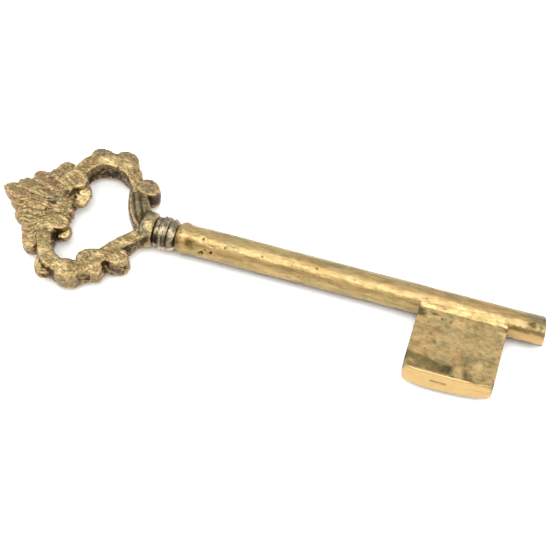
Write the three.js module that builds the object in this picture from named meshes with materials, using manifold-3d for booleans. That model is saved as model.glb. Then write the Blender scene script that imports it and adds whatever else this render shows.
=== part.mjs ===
// Blank skeleton key, cast and brazed brass, lying flat with its bit towards -Y.
// Millimetres, +Z up. The lengths below are measured along the stem from the pin end, which is x = 0,
// with the bow at negative x; the finished key is then centred on its own footprint, standing on z = 0.

import * as THREE from "three";
import { mergeVertices } from "three/addons/utils/BufferGeometryUtils.js";
import Module from "manifold-3d";

// Driving dimensions.
const GAP = 0.05; // braze gap between neighbouring pieces
const ROUND = 32; // facets round a turned piece
const SMOOTHING = 0.04; // facets that lie closer than this are merged

const STEM = { start: -71.6, radius: 2.95, pinRadius: 2.78 };
const SHOULDER = { radius: 3.12, at: -70.7, ease: 2.4 };
const TENON = { radius: 1.6, depth: 7 };
const TAPER_START = -64; // from here the stem narrows slowly to the pin end

const FOOT = { radius: 3.65, from: -78.9, to: -76.1 };
const WIDE_BEAD = { radius: 3.5, from: -76.1, to: -73.3 };
const NARROW_BEAD = { radius: 3.3, from: -73.3, to: -71.6 };
const BEAD_GROOVE = 2.6; // radius in the grooves between the beads
const NECK_FLATNESS = 0.88; // the neck's height as a share of its width

const BIT = { from: -23.2, to: -6.5, thick: 3.5, reach: 16.9, slope: 1.2, seat: 1.2 };
const BIT_CORNERS = { bowSide: 1.5, pinSide: 0.8 };
const BIT_RIB = { reach: 5.2, thick: 3.8 };
const GRIND_ROOM = { length: 60, depth: 10, height: 20 }; // the block that slopes the bit's free edge

const BAR = { halfWidth: 1.6, halfThick: 2.3 };
const LEAF_HALF_THICK = 2.4;
const LEAF_SWELL = { root: 0.8, fullness: 0.75 }; // a smaller root value swells the leaf near its root
const VOLUTE_RIM = { proud: 0.1, width: 0.9, edge: 0.25, drop: 0.35, side: 1.1, eye: 0.45 };
const PIN_CHAMFER = 0.3;

const BRASS = { bow: 0xb59a5e, beads: 0x8d7a4c, stem: 0xc4a55f, bit: 0xc2a362 };

// The bow's bar runs from the neck up the far arm, round the crest side and back down the near arm.
const BAR_ROUTE = [
  [-76.9, 1.0],
  [-78.6, 2.2],
  [-80.6, 4.4],
  [-82.7, 8.0],
  [-85.6, 11.3],
  [-89.4, 12.5],
  [-92.9, 11.2],
  [-95.0, 7.8],
  [-96.0, 3.2],
  [-96.6, -1.2],
  [-96.2, -5.8],
  [-95.3, -9.8],
  [-92.8, -13.2],
  [-89.2, -14.2],
  [-86.0, -12.7],
  [-83.4, -9.4],
  [-81.0, -5.6],
  [-79.0, -3.0],
  [-76.9, -1.6],
];

// Round bosses on the bar: centre, radius, and the depth of the dimple in the eye of each face.
const VOLUTES = [
  { at: [-80.9, 8.2], radius: 2.2, eye: 0.4 },
  { at: [-80.9, -9.2], radius: 2.2, eye: 0.4 },
  { at: [-94.0, 4.0], radius: 2.7, eye: 1.3 },
  { at: [-94.4, -5.6], radius: 2.6, eye: 1.3 },
  { at: [-85.6, -10.2], radius: 2.0, eye: 0.4 },
];

// Shell lobes that scallop the outer edge: centre, radius along X and radius along Y.
const LOBES = [
  { at: [-84.8, 11.2], radii: [1.8, 1.7] },
  { at: [-87.9, 13.2], radii: [2.6, 2.4] },
  { at: [-92.6, 12.9], radii: [2.5, 2.3] },
  { at: [-98.3, 8.3], radii: [2.0, 2.0] },
  { at: [-98.3, -8.9], radii: [2.1, 2.5] },
  { at: [-93.4, -13.9], radii: [2.3, 2.5] },
  { at: [-88.9, -14.7], radii: [3.1, 2.3] },
  { at: [-84.6, -12.2], radii: [2.4, 2.0] },
];

// The crest: a round shield with leaves that fan out from it. The middle leaf ends near the axis.
const SHIELD = { at: [-98.6, -0.6], radii: [5.0, 7.6] };
const LEAVES = [
  { root: [-94.5, -0.4], tip: [-108.5, 1.0], halfWidth: 2.6 },
  { root: [-94.5, 0.6], tip: [-106.0, 3.4], halfWidth: 2.3 },
  { root: [-94.0, 1.6], tip: [-103.6, 6.0], halfWidth: 2.5 },
  { root: [-94.5, -1.6], tip: [-105.4, -2.4], halfWidth: 2.4 },
  { root: [-94.5, -2.8], tip: [-102.8, -5.6], halfWidth: 2.6 },
];

const wasm = await Module();
wasm.setup();

// A three.js geometry as a manifold-3d solid.
function solidOf(geometry) {
  const bare = geometry.index ? geometry : geometry.clone();
  bare.deleteAttribute("normal");
  bare.deleteAttribute("uv");
  const merged = mergeVertices(bare, 1e-4);
  const mesh = new wasm.Mesh({
    numProp: 3,
    vertProperties: merged.attributes.position.array,
    triVerts: new Uint32Array(merged.index.array),
  });
  return new wasm.Manifold(mesh);
}

// A manifold-3d solid as a three.js geometry with flat-shaded corners.
function geometryOf(solid) {
  const mesh = solid.getMesh();
  const geometry = new THREE.BufferGeometry();
  geometry.setAttribute("position", new THREE.BufferAttribute(mesh.vertProperties, 3));
  geometry.setIndex(new THREE.BufferAttribute(mesh.triVerts, 1));
  geometry.computeVertexNormals();
  return geometry;
}

function union(solids) {
  return solids.reduce((whole, next) => whole.add(next));
}

// The neck is a little lower than it is wide.
function flattened(solid) {
  return solid.scale([1, 1, NECK_FLATNESS]);
}

function piece(name, solid, colour) {
  const material = new THREE.MeshStandardMaterial({
    color: colour,
    metalness: 1,
    roughness: 0.4,
    flatShading: true,
  });
  const mesh = new THREE.Mesh(geometryOf(solid), material);
  mesh.name = name;
  return mesh;
}

// A solid turned about the stem's axis. The profile is [x, radius] pairs running from bow to pin.
function turned(profile, facets = ROUND) {
  const points = profile.map(([x, radius]) => new THREE.Vector2(radius, x));
  const geometry = new THREE.LatheGeometry(points, facets);
  geometry.rotateZ(-Math.PI / 2);
  return solidOf(geometry);
}

// Profile points of a half-round bead between two x positions, rising from the groove to its radius.
function beadProfile({ radius, from, to }, groove, steps = 8) {
  const profile = [];
  for (let i = 0; i <= steps; i++) {
    const turn = (i / steps) * Math.PI;
    const x = (from + to) / 2 - ((to - from) / 2) * Math.cos(turn);
    profile.push([x, groove + (radius - groove) * Math.sin(turn)]);
  }
  return profile;
}

// A box between two corners.
function block(low, high) {
  const size = high.map((value, axis) => value - low[axis]);
  const geometry = new THREE.BoxGeometry(...size);
  geometry.translate(...low.map((value, axis) => (value + high[axis]) / 2));
  return solidOf(geometry);
}

// The stem: a swelling shoulder at the neck, a slow taper, and a small chamfer at the pin end.
function stemProfile() {
  const shoulderEnd = SHOULDER.at + SHOULDER.ease;
  return [
    [STEM.start + GAP, 0],
    [STEM.start + GAP, BEAD_GROOVE],
    [(STEM.start + SHOULDER.at) / 2, SHOULDER.radius - 0.2],
    [SHOULDER.at, SHOULDER.radius],
    [(SHOULDER.at + shoulderEnd) / 2, (SHOULDER.radius + STEM.radius) / 2],
    [shoulderEnd, STEM.radius],
    [TAPER_START, STEM.radius],
    [-PIN_CHAMFER, STEM.pinRadius],
    [0, STEM.pinRadius - PIN_CHAMFER],
    [0, 0],
  ];
}

function makeStem() {
  const socket = turned([
    [STEM.start - 1, 0],
    [STEM.start - 1, TENON.radius + GAP],
    [STEM.start + TENON.depth + GAP, TENON.radius + GAP],
    [STEM.start + TENON.depth + GAP, 0],
  ]);
  const half = BIT.thick / 2 + GAP;
  const slot = block(
    [BIT.from + BIT.seat - GAP, -STEM.radius - 1, -half],
    [BIT.to - BIT.seat + GAP, -BIT.seat + GAP, half],
  );
  return turned(stemProfile()).subtract(socket).subtract(slot);
}

// A ring threaded on the tenon.
function makeBead(bead) {
  const from = bead.from + GAP;
  const to = bead.to - GAP;
  const ring = turned([[from, 0], ...beadProfile({ ...bead, from, to }, BEAD_GROOVE), [to, 0]]);
  const bore = turned([
    [from - 1, 0],
    [from - 1, TENON.radius + GAP],
    [to + 1, TENON.radius + GAP],
    [to + 1, 0],
  ]);
  return flattened(ring).subtract(bore);
}

// The bit's plan: straight root and sides, two rounded corners at the free end.
function bitPlan() {
  const plan = new THREE.Shape();
  const { bowSide, pinSide } = BIT_CORNERS;
  plan.moveTo(BIT.from, 0);
  plan.lineTo(BIT.from, -BIT.reach + bowSide);
  plan.absarc(BIT.from + bowSide, -BIT.reach + bowSide, bowSide, Math.PI, Math.PI * 1.5, false);
  plan.lineTo(BIT.to - pinSide, -BIT.reach);
  plan.absarc(BIT.to - pinSide, -BIT.reach + pinSide, pinSide, Math.PI * 1.5, Math.PI * 2, false);
  plan.lineTo(BIT.to, 0);
  plan.closePath();
  return plan;
}

// The flag of the key, with its ground free edge, its root rib and the tongue let into the stem's slot.
function makeBit() {
  const half = BIT.thick / 2;
  const plate = new THREE.ExtrudeGeometry(bitPlan(), {
    depth: BIT.thick,
    bevelEnabled: false,
    curveSegments: 8,
  });
  plate.translate(0, 0, -half);
  const tilt = Math.atan2(BIT.slope, BIT.thick);
  const grind = new THREE.BoxGeometry(GRIND_ROOM.length, GRIND_ROOM.depth, GRIND_ROOM.height);
  grind.translate(0, -GRIND_ROOM.depth / 2, 0);
  grind.rotateX(-tilt);
  grind.translate((BIT.from + BIT.to) / 2, -BIT.reach, -half);
  const rib = block(
    [BIT.from, -BIT_RIB.reach, -BIT_RIB.thick / 2],
    [BIT.to, 0, BIT_RIB.thick / 2],
  );
  const stemRoom = turned([
    [BIT.from - 1, 0],
    [BIT.from - 1, STEM.radius + GAP],
    [BIT.to + 1, STEM.radius + GAP],
    [BIT.to + 1, 0],
  ]);
  const tongue = block(
    [BIT.from + BIT.seat, -STEM.radius - 1, -half],
    [BIT.to - BIT.seat, -BIT.seat, half],
  );
  return solidOf(plate).subtract(solidOf(grind)).add(rib).subtract(stemRoom).add(tongue);
}

// The bow's bar: an oval section carried along its route, both ends buried in the neck foot.
function makeBar() {
  const route = new THREE.CatmullRomCurve3(
    BAR_ROUTE.map(([x, y]) => new THREE.Vector3(x, y, 0)),
    false,
    "centripetal",
  );
  const section = new THREE.Shape();
  section.absellipse(0, 0, BAR.halfThick, BAR.halfWidth, 0, Math.PI * 2);
  const geometry = new THREE.ExtrudeGeometry(section, {
    steps: 54,
    curveSegments: 6,
    bevelEnabled: false,
    extrudePath: route,
  });
  return solidOf(geometry);
}

// A round boss with a dimple in the middle of both faces.
function makeVolute({ at, radius, eye }) {
  const half = LEAF_HALF_THICK + VOLUTE_RIM.proud;
  const face = [
    [0, half - eye],
    [radius * VOLUTE_RIM.eye, half],
    [radius - VOLUTE_RIM.width, half],
    [radius - VOLUTE_RIM.edge, half - VOLUTE_RIM.drop],
    [radius, half - VOLUTE_RIM.side],
  ];
  const back = face.map(([r, z]) => [r, -z]).reverse();
  const points = [...face, ...back].map(([r, z]) => new THREE.Vector2(r, z)).reverse();
  const geometry = new THREE.LatheGeometry(points, 16);
  geometry.rotateX(Math.PI / 2);
  geometry.translate(at[0], at[1], 0);
  return solidOf(geometry);
}

function makeLobe({ at, radii }) {
  const geometry = new THREE.SphereGeometry(1, 16, 10);
  geometry.rotateX(Math.PI / 2);
  geometry.scale(radii[0], radii[1], LEAF_HALF_THICK);
  geometry.translate(at[0], at[1], 0);
  return solidOf(geometry);
}

// Half width of a leaf, as a share of its largest, at a share of its length.
function leafSwell(share) {
  return Math.sin(Math.PI * share ** LEAF_SWELL.root) ** LEAF_SWELL.fullness;
}

// A pointed leaf: a spindle turned about the line from its root to its tip, flattened to the bow.
function makeLeaf({ root, tip, halfWidth }) {
  const steps = 8;
  const along = new THREE.Vector2(tip[0] - root[0], tip[1] - root[1]);
  const length = along.length();
  const points = [];
  for (let i = 0; i <= steps; i++) {
    const share = i / steps;
    const swell = i === 0 || i === steps ? 0 : leafSwell(share);
    points.push(new THREE.Vector2(halfWidth * swell, length * share));
  }
  const geometry = new THREE.LatheGeometry(points, 12);
  geometry.scale(1, 1, LEAF_HALF_THICK / halfWidth);
  geometry.rotateZ(along.angle() - Math.PI / 2);
  geometry.translate(root[0], root[1], 0);
  return solidOf(geometry);
}

// The open bow, its neck foot and the tenon that the beads and the stem are threaded on.
function makeBow() {
  const footProfile = beadProfile({ ...FOOT, to: FOOT.to - GAP }, BEAD_GROOVE);
  const foot = flattened(turned([[FOOT.from, 0], ...footProfile, [FOOT.to - GAP, 0]]));
  const tenon = turned([
    [FOOT.from + 1, 0],
    [FOOT.from + 1, TENON.radius],
    [STEM.start + TENON.depth, TENON.radius],
    [STEM.start + TENON.depth, 0],
  ]);
  return union([
    makeBar(),
    ...VOLUTES.map(makeVolute),
    ...LOBES.map(makeLobe),
    makeLobe(SHIELD),
    ...LEAVES.map(makeLeaf),
    foot,
    tenon,
  ]).simplify(SMOOTHING);
}

// The assembly, centred on its footprint and standing on z = 0.
function makeKey() {
  const key = new THREE.Group();
  key.add(piece("bow", makeBow(), BRASS.bow));
  key.add(piece("neck_bead_wide", makeBead(WIDE_BEAD), BRASS.beads));
  key.add(piece("neck_bead_narrow", makeBead(NARROW_BEAD), BRASS.beads));
  key.add(piece("stem", makeStem(), BRASS.stem));
  key.add(piece("bit", makeBit(), BRASS.bit));
  const box = new THREE.Box3().setFromObject(key);
  const middle = box.getCenter(new THREE.Vector3());
  key.position.set(-middle.x, -middle.y, -box.min.z);
  return key;
}

export default makeKey();
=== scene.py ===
"""Blank skeleton key in aged cast brass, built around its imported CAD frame.

Every shape is worked out in millimetres in the key's own measure: x runs along the stem, 0 at the pin
end and negative towards the bow; y is 0 on the stem's axis and negative towards the bit; z is 0 on the
axis. Measure.place turns those points into metres in the frame.
"""

import logging
import math
from dataclasses import dataclass
from enum import Enum

import bmesh
import bpy
import numpy as np
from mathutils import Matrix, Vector
from numpy.typing import NDArray

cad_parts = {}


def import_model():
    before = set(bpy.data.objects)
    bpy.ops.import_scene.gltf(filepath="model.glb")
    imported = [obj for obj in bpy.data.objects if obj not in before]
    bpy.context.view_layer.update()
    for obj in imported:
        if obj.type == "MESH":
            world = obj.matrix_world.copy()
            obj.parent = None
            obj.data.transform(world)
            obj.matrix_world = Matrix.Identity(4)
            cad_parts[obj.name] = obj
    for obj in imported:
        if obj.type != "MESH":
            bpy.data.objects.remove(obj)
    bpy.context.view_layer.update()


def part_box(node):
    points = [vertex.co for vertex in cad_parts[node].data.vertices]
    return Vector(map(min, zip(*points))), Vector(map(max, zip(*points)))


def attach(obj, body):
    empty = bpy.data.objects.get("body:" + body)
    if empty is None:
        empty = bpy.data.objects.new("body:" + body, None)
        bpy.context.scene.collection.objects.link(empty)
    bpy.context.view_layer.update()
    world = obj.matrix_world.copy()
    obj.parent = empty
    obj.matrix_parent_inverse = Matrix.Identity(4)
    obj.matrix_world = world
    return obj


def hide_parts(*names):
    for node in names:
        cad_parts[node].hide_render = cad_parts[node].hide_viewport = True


LOG = logging.getLogger("key")
MM = 0.001
BODY = "root"

Floats = NDArray[np.float64]
Ints = NDArray[np.int64]
Colour = tuple[float, float, float]
Point2 = tuple[float, float]
Point3 = tuple[float, float, float]
Row4 = tuple[float, float, float, float]
Collection = bpy.types.bpy_prop_collection


# ---------------------------------------------------------------------------------------------
# Measure: where the key lies in the frame
# ---------------------------------------------------------------------------------------------


@dataclass(frozen=True)
class Measure:
    """Turns the key's own millimetres into metres in the frame.

    Attributes:
        pin_end: x of the pin end in the frame, in metres.
        axis_y: y of the stem's axis, in metres.
        axis_z: height of the stem's axis, in metres.
    """

    pin_end: float
    axis_y: float
    axis_z: float

    @classmethod
    def from_frame(cls) -> "Measure":
        """Reads the stem's own box.

        Returns:
            The measure whose origin is the middle of the pin end.
        """
        low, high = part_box("stem")
        return cls(high.x, (low.y + high.y) / 2, (low.z + high.z) / 2)

    def place(self, points: Floats) -> Floats:
        """Moves points in millimetres to metres in the frame.

        Args:
            points: An array of points, the last axis x, y, z in millimetres.

        Returns:
            The same points in metres in the frame.
        """
        return points * MM + self.origin()

    def unplace(self, places: Floats) -> Floats:
        """The reverse of place: metres in the frame to the key's own millimetres."""
        return (places - self.origin()) / MM

    def origin(self) -> Floats:
        """The middle of the pin end in the frame, in metres."""
        return np.array([self.pin_end, self.axis_y, self.axis_z])


# ---------------------------------------------------------------------------------------------
# Number tools: smooth noise and blends, all on whole arrays
# ---------------------------------------------------------------------------------------------


def smoothstep(low: float, high: float, value: Floats) -> Floats:
    """The cubic 3t^2 - 2t^3 of how far each value has gone from low to high.

    Args:
        low: Value where the result is 0.
        high: Value where the result is 1.
        value: The numbers to blend.

    Returns:
        Numbers from 0 to 1.
    """
    share = np.clip((value - low) / (high - low), 0.0, 1.0)
    return share * share * (3 - 2 * share)


def window(value: Floats, rise: Point2, fall: Point2) -> Floats:
    """1 inside a range, with a smooth rise before it and a smooth fall after it."""
    return smoothstep(*rise, value) * (1 - smoothstep(*fall, value))


def cell_value(cells: Ints, seed: int) -> Floats:
    """A fixed random value for each lattice cell: its three whole numbers mixed by multiply and shift.

    Args:
        cells: Whole-number cell places, one row each.
        seed: Picks another set of values.

    Returns:
        One number from -1 to 1 for each row.
    """
    mixed = (
        cells[:, 0].astype(np.uint64) * np.uint64(73856093)
        ^ cells[:, 1].astype(np.uint64) * np.uint64(19349663)
        ^ cells[:, 2].astype(np.uint64) * np.uint64(83492791)
        ^ np.uint64(seed * 2654435761 + 97)
    )
    mixed = (mixed ^ (mixed >> np.uint64(15))) * np.uint64(2246822519)
    mixed = (mixed ^ (mixed >> np.uint64(13))) * np.uint64(3266489917)
    mixed = mixed ^ (mixed >> np.uint64(16))
    return (mixed & np.uint64(0xFFFFFF)).astype(np.float64) / 0x7FFFFF - 1.0


def noise(points: Floats, size: float, seed: int) -> Floats:
    """Value noise: the eight corner values of each point's cell, blended by 3t^2 - 2t^3 each way.

    Args:
        points: One row per point.
        size: Cell size, in the points' unit.
        seed: Picks another pattern.

    Returns:
        One number from -1 to 1 for each point.
    """
    cell = points / size + 1000.0
    base = np.floor(cell)
    share = cell - base
    blend = share * share * (3 - 2 * share)
    total = np.zeros(len(points))
    for corner in range(8):
        step = np.array([corner & 1, corner >> 1 & 1, corner >> 2 & 1])
        weight = np.where(step == 1, blend, 1 - blend).prod(axis=1)
        total += weight * cell_value(base.astype(np.int64) + step, seed)
    return total


def rough(points: Floats, size: float, octaves: int, seed: int) -> Floats:
    """Noise added to itself at half the size and half the height, octave by octave.

    Args:
        points: One row per point.
        size: Cell size of the coarsest octave.
        octaves: How many sizes are added.
        seed: Picks another pattern.

    Returns:
        One number for each point, roughly from -1 to 1.
    """
    return sum(noise(points, size / 2**k, seed + k) * 0.5**k for k in range(octaves)) / 1.4


def facets(points: Floats, size: float, seed: int) -> tuple[Floats, Floats]:
    """Cuts space into uneven cells and gives each its own tilted height, as chisel cuts leave.

    Each lattice cell holds one random centre. A point belongs to the nearest centre, and its height is
    the dot product of the way from that centre with a random slope. The crease is 0 where the two
    nearest centres are equally far and 1 inside a cell.

    Args:
        points: One row per point.
        size: Cell size, in the points' unit.
        seed: Picks another pattern.

    Returns:
        The facet height in cell sizes and the crease value, one of each for each point.
    """
    cell = points / size + 1000.0
    base = np.floor(cell).astype(np.int64)
    nearest = np.full(len(points), 9.0)
    second = np.full(len(points), 9.0)
    height = np.zeros(len(points))
    steps = np.stack(np.meshgrid([-1, 0, 1], [-1, 0, 1], [-1, 0, 1]), axis=-1).reshape(-1, 3)
    for step in steps:
        at = base + step
        jitter = np.stack([cell_value(at, seed + k) for k in range(3)], axis=1)
        slope = np.stack([cell_value(at, seed + 3 + k) for k in range(3)], axis=1)
        away = cell - (at + 0.5 + 0.42 * jitter)
        gap = np.linalg.norm(away, axis=1)
        closer = gap < nearest
        second = np.where(closer, nearest, np.minimum(second, gap))
        height = np.where(closer, np.einsum("ij,ij->i", away, slope), height)
        nearest = np.where(closer, gap, nearest)
    return height, smoothstep(0.0, 0.3, second - nearest)


def drawn_out(points: Floats, share: float) -> Floats:
    """Squeezes x to a share, so that a noise of the result is drawn out along the stem."""
    return points * np.array([share, 1, 1])


def signed_power(value: Floats, power: float) -> Floats:
    """Raises the size of each number to a power and keeps its sign."""
    return np.sign(value) * np.abs(value) ** power


# ---------------------------------------------------------------------------------------------
# Skins: grids of points turned into closed surfaces
# ---------------------------------------------------------------------------------------------


@dataclass
class Skin:
    """A surface as plain arrays.

    Attributes:
        points: One row of x, y, z for each point.
        quads: Point numbers of the four-sided faces.
        fans: Point numbers of the three-sided faces.
    """

    points: Floats
    quads: Ints
    fans: Ints

    def outward(self) -> "Skin":
        """Turns the faces where the volume that they enclose, by signed tetrahedra, is negative.

        Returns:
            The same skin with its faces outward.
        """
        halves = np.concatenate([self.quads[:, [0, 1, 2]], self.quads[:, [0, 2, 3]], self.fans])
        a, b, c = (self.points[halves[:, k]] for k in range(3))
        if np.einsum("ij,ij->i", a, np.cross(b, c)).sum() < 0:
            return Skin(self.points, self.quads[:, ::-1], self.fans[:, ::-1])
        return self

    @staticmethod
    def joined(skins: list["Skin"]) -> "Skin":
        """Puts several skins into one, still as separate shells.

        Args:
            skins: The skins.

        Returns:
            One skin with all their points and faces.
        """
        starts = np.cumsum([0] + [len(s.points) for s in skins[:-1]])
        return Skin(
            np.concatenate([s.points for s in skins]),
            np.concatenate([s.quads + start for s, start in zip(skins, starts)]),
            np.concatenate([s.fans + start for s, start in zip(skins, starts)]),
        )


def loft(rows: Floats, capped: bool = True) -> Skin:
    """Closed rings of points joined one to the next.

    Args:
        rows: Array of shape (rings, points in a ring, 3).
        capped: True closes both ends with a fan to the end ring's middle. False joins the last ring to
            the first, which makes a ring-shaped skin.

    Returns:
        The closed skin, faces outward.
    """
    rings, around = rows.shape[:2]
    here = np.arange(rings * around).reshape(rings, around)
    after = np.roll(here, -1, axis=1)
    if capped:
        lower, upper, lower_on, upper_on = here[:-1], here[1:], after[:-1], after[1:]
    else:
        lower, upper = here, np.roll(here, -1, axis=0)
        lower_on, upper_on = after, np.roll(after, -1, axis=0)
    quads = np.stack([lower, lower_on, upper_on, upper], axis=-1).reshape(-1, 4)
    points = rows.reshape(-1, 3)
    fans = np.zeros((0, 3), np.int64)
    if capped:
        poles = np.stack([rows[0].mean(axis=0), rows[-1].mean(axis=0)])
        first = np.full(around, len(points))
        last = first + 1
        fans = np.concatenate(
            [
                np.stack([first, after[0], here[0]], axis=-1),
                np.stack([last, here[-1], after[-1]], axis=-1),
            ]
        )
        points = np.concatenate([points, poles])
    return Skin(points, quads, fans).outward()


def smooth_route(corners: Floats, samples: int) -> Floats:
    """A curve through points: each stretch is the cubic whose end slopes follow its neighbours.

    Args:
        corners: One row per point that the curve passes. Any number of columns, so that widths can be
            carried with the places.
        samples: Number of points wanted, evenly shared over the stretches.

    Returns:
        The points of the curve, one row each.
    """
    ends = np.concatenate([2 * corners[:1] - corners[1:2], corners, 2 * corners[-1:] - corners[-2:-1]])
    along = np.linspace(0, len(corners) - 1 - 1e-9, samples)
    at = along.astype(int)
    t = (along - at)[:, None]
    p0, p1, p2, p3 = (ends[at + k] for k in range(4))
    return 0.5 * (
        2 * p1
        + (p2 - p0) * t
        + (2 * p0 - 5 * p1 + 4 * p2 - p3) * t**2
        + (3 * p1 - p0 - 3 * p2 + p3) * t**3
    )


def flat_bar(
    places: Floats,
    half_width: Floats,
    half_height: Floats,
    around: int = 32,
    box: float = 0.24,
    tilt: float = 0.0,
) -> Skin:
    """A bar swept along a route in the plane of the bow.

    Each section is a rounded box: width times cos to a power, height times sin to the same power,
    square to the route.

    Args:
        places: Route points, one row of x, y, z each.
        half_width: Half width across the route at each point.
        half_height: Half height at each point.
        around: Points in a section.
        box: The power. 1 is an ellipse and smaller is squarer.
        tilt: Slope of the top across the bar, mirrored on the bottom.

    Returns:
        The closed bar.
    """
    turn = np.linspace(0, 2 * np.pi, around, endpoint=False)
    across = signed_power(np.cos(turn), box)[None, :, None] * half_width[:, None, None]
    level = signed_power(np.sin(turn), box)[None, :, None]
    up = level * (half_height[:, None, None] + tilt * across)
    heading = np.gradient(places[:, :2], axis=0)
    heading /= np.linalg.norm(heading, axis=1, keepdims=True)
    side = np.stack([-heading[:, 1], heading[:, 0], np.zeros(len(places))], axis=1)
    return loft(places[:, None, :] + across * side[:, None, :] + up * np.array([0, 0, 1.0]))


@dataclass(frozen=True)
class Lump:
    """A cast lump with upright sides.

    Attributes:
        at: Place in the plane of the bow, in millimetres.
        radii: Plan radii before turning.
        share: Its height as a share of the bow's.
        turn: Angle of the plan, in degrees.
        tilt: Slope of its top along x and y.
        box: 1 is an ellipsoid, and smaller has straighter sides and a flatter top.
    """

    at: Point2
    radii: Point2
    share: float = 1.0
    turn: float = 0.0
    tilt: Point2 = (0.0, 0.0)
    box: float = 0.4

    def skin(self, half_height: float) -> Skin:
        """A superellipsoid.

        The plan is an ellipse, with its sine and cosine to the power 0.9, scaled by cos(latitude) to
        the power box. The height is sin(latitude) to that power, times a half height that changes over
        the plan by the dot product of place and tilt.

        Args:
            half_height: Half of the bow's height.

        Returns:
            The closed lump.
        """
        latitude = np.linspace(-np.pi / 2, np.pi / 2, 27)[1:-1]
        around = np.linspace(0, 2 * np.pi, 36, endpoint=False)
        shrink = np.cos(latitude)[:, None] ** self.box
        x = self.radii[0] * shrink * signed_power(np.cos(around), 0.9)
        y = self.radii[1] * shrink * signed_power(np.sin(around), 0.9)
        level = signed_power(np.sin(latitude), self.box)[:, None] * np.ones_like(x)
        c, s = math.cos(math.radians(self.turn)), math.sin(math.radians(self.turn))
        plan_x, plan_y = x * c - y * s, x * s + y * c
        z = level * (half_height * self.share + self.tilt[0] * plan_x + self.tilt[1] * plan_y)
        return loft(np.stack([self.at[0] + plan_x, self.at[1] + plan_y, z], axis=-1))


@dataclass(frozen=True)
class Leaf:
    """A blunt leaf lying in the plane of the bow.

    Attributes:
        root: Start of the midrib.
        tip: End of the leaf.
        half_width: Largest half width.
        bend: Sideways bow of the midrib in millimetres.
        tilt: Slope across the leaf, so that it overlaps its neighbour.
        blunt: 0.7 swells near the root and 2 near the tip.
    """

    root: Point2
    tip: Point2
    half_width: float
    bend: float = 0.0
    tilt: float = 0.18
    blunt: float = 1.5

    def skin(self, half_height: float) -> Skin:
        """A bar whose half width is sin(pi s^blunt) to the power 0.6, on a midrib bowed by sin(pi s).

        Its half height is the bow's, less 0.32 s^2 of it, times that sine to the power 0.21.

        Args:
            half_height: Half of the bow's height.

        Returns:
            The closed leaf.
        """
        share = np.linspace(0.03, 0.992, 34)
        swell = np.sin(np.pi * share**self.blunt) ** 0.6
        start, end = np.array(self.root), np.array(self.tip)
        along = end - start
        side = np.array([-along[1], along[0]]) / np.linalg.norm(along)
        midrib = start + share[:, None] * along + (self.bend * np.sin(np.pi * share))[:, None] * side
        places = np.column_stack([midrib, np.zeros(len(share))])
        height = half_height * (1 - 0.32 * share**2) * swell**0.35
        return flat_bar(places, self.half_width * swell, height, around=28, box=0.35, tilt=self.tilt)


def turned(profile: Floats, around: int) -> Skin:
    """A shape turned about the stem's axis.

    Args:
        profile: Rows of x and radius, from one end of the axis to the other. The first and the last
            rows are closed to the axis.
        around: Points in a ring.

    Returns:
        The closed turned skin.
    """
    turn = np.linspace(0, 2 * np.pi, around, endpoint=False)
    x = np.repeat(profile[:, :1], around, axis=1)
    y = profile[:, 1:] * np.cos(turn)
    z = profile[:, 1:] * np.sin(turn)
    return loft(np.stack([x, y, z], axis=-1))


def run_of(points: list[Point2], step: float) -> Floats:
    """Straight runs between corner points, cut into steps no longer than step.

    Args:
        points: Corner points.
        step: Longest step.

    Returns:
        All the points, one row each.
    """
    corners = np.array(points, float)
    parts = [
        np.linspace(a, b, max(2, int(math.ceil(np.linalg.norm(b - a) / step)) + 1))[:-1]
        for a, b in zip(corners[:-1], corners[1:])
    ]
    return np.concatenate([*parts, corners[-1:]])


class Mark(Enum):
    """Point attributes that the finishes read, each with its name in the mesh."""

    # The hollow mark darkens as tarnished metal and painted shade in hollows; the sooty mark also carries
    # painted shade, and the worn-bright mark also carries painted highlights and painted reflections.
    HOLLOW = "hollow"
    SOOT_AND_SHADE = "soot_and_shade"
    COPPER = "copper"
    PATINA = "patina"
    RUBBED_AND_HIGHLIT = "rubbed_and_highlit"


# ---------------------------------------------------------------------------------------------
# Meshes: from skins to Blender and back
# ---------------------------------------------------------------------------------------------


def new_piece(name: str, skin: Skin, measure: Measure | None) -> bpy.types.Object:
    """Makes a Blender object from a skin.

    Args:
        name: Object and mesh name.
        skin: Points in millimetres, with faces.
        measure: Where the key lies, or None where the skin is already in metres.

    Returns:
        The new object, at the origin.
    """
    places = measure.place(skin.points) if measure else skin.points
    mesh = bpy.data.meshes.new(name)
    corners = np.concatenate([skin.quads.ravel(), skin.fans.ravel()])
    sizes = np.concatenate([np.full(len(skin.quads), 4), np.full(len(skin.fans), 3)])
    starts = np.concatenate([[0], np.cumsum(sizes)[:-1]])
    mesh.vertices.add(len(places))
    mesh.vertices.foreach_set("co", places.astype(np.float32).ravel())
    mesh.loops.add(len(corners))
    mesh.loops.foreach_set("vertex_index", corners.astype(np.int32))
    mesh.polygons.add(len(sizes))
    mesh.polygons.foreach_set("loop_start", starts.astype(np.int32))
    mesh.polygons.foreach_set("loop_total", sizes.astype(np.int32))
    mesh.polygons.foreach_set("use_smooth", np.ones(len(sizes), bool))
    mesh.update(calc_edges=True)
    mesh.validate()
    made = bpy.data.objects.new(name, mesh)
    bpy.context.scene.collection.objects.link(made)
    return made


def read_rows(items: Collection, name: str, width: int, kind: type) -> NDArray:
    """Reads one property of many mesh items at once.

    Args:
        items: Points, normals or edges of a mesh.
        name: The property.
        width: Numbers in it.
        kind: How Blender stores them.

    Returns:
        One row for each item.
    """
    flat = np.empty(len(items) * width, kind)
    items.foreach_get(name, flat)
    return flat.reshape(-1, width)


def points_of(mesh: bpy.types.Mesh) -> Floats:
    """The mesh's points, one row each."""
    return read_rows(mesh.vertices, "co", 3, np.float32).astype(np.float64)


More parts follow.
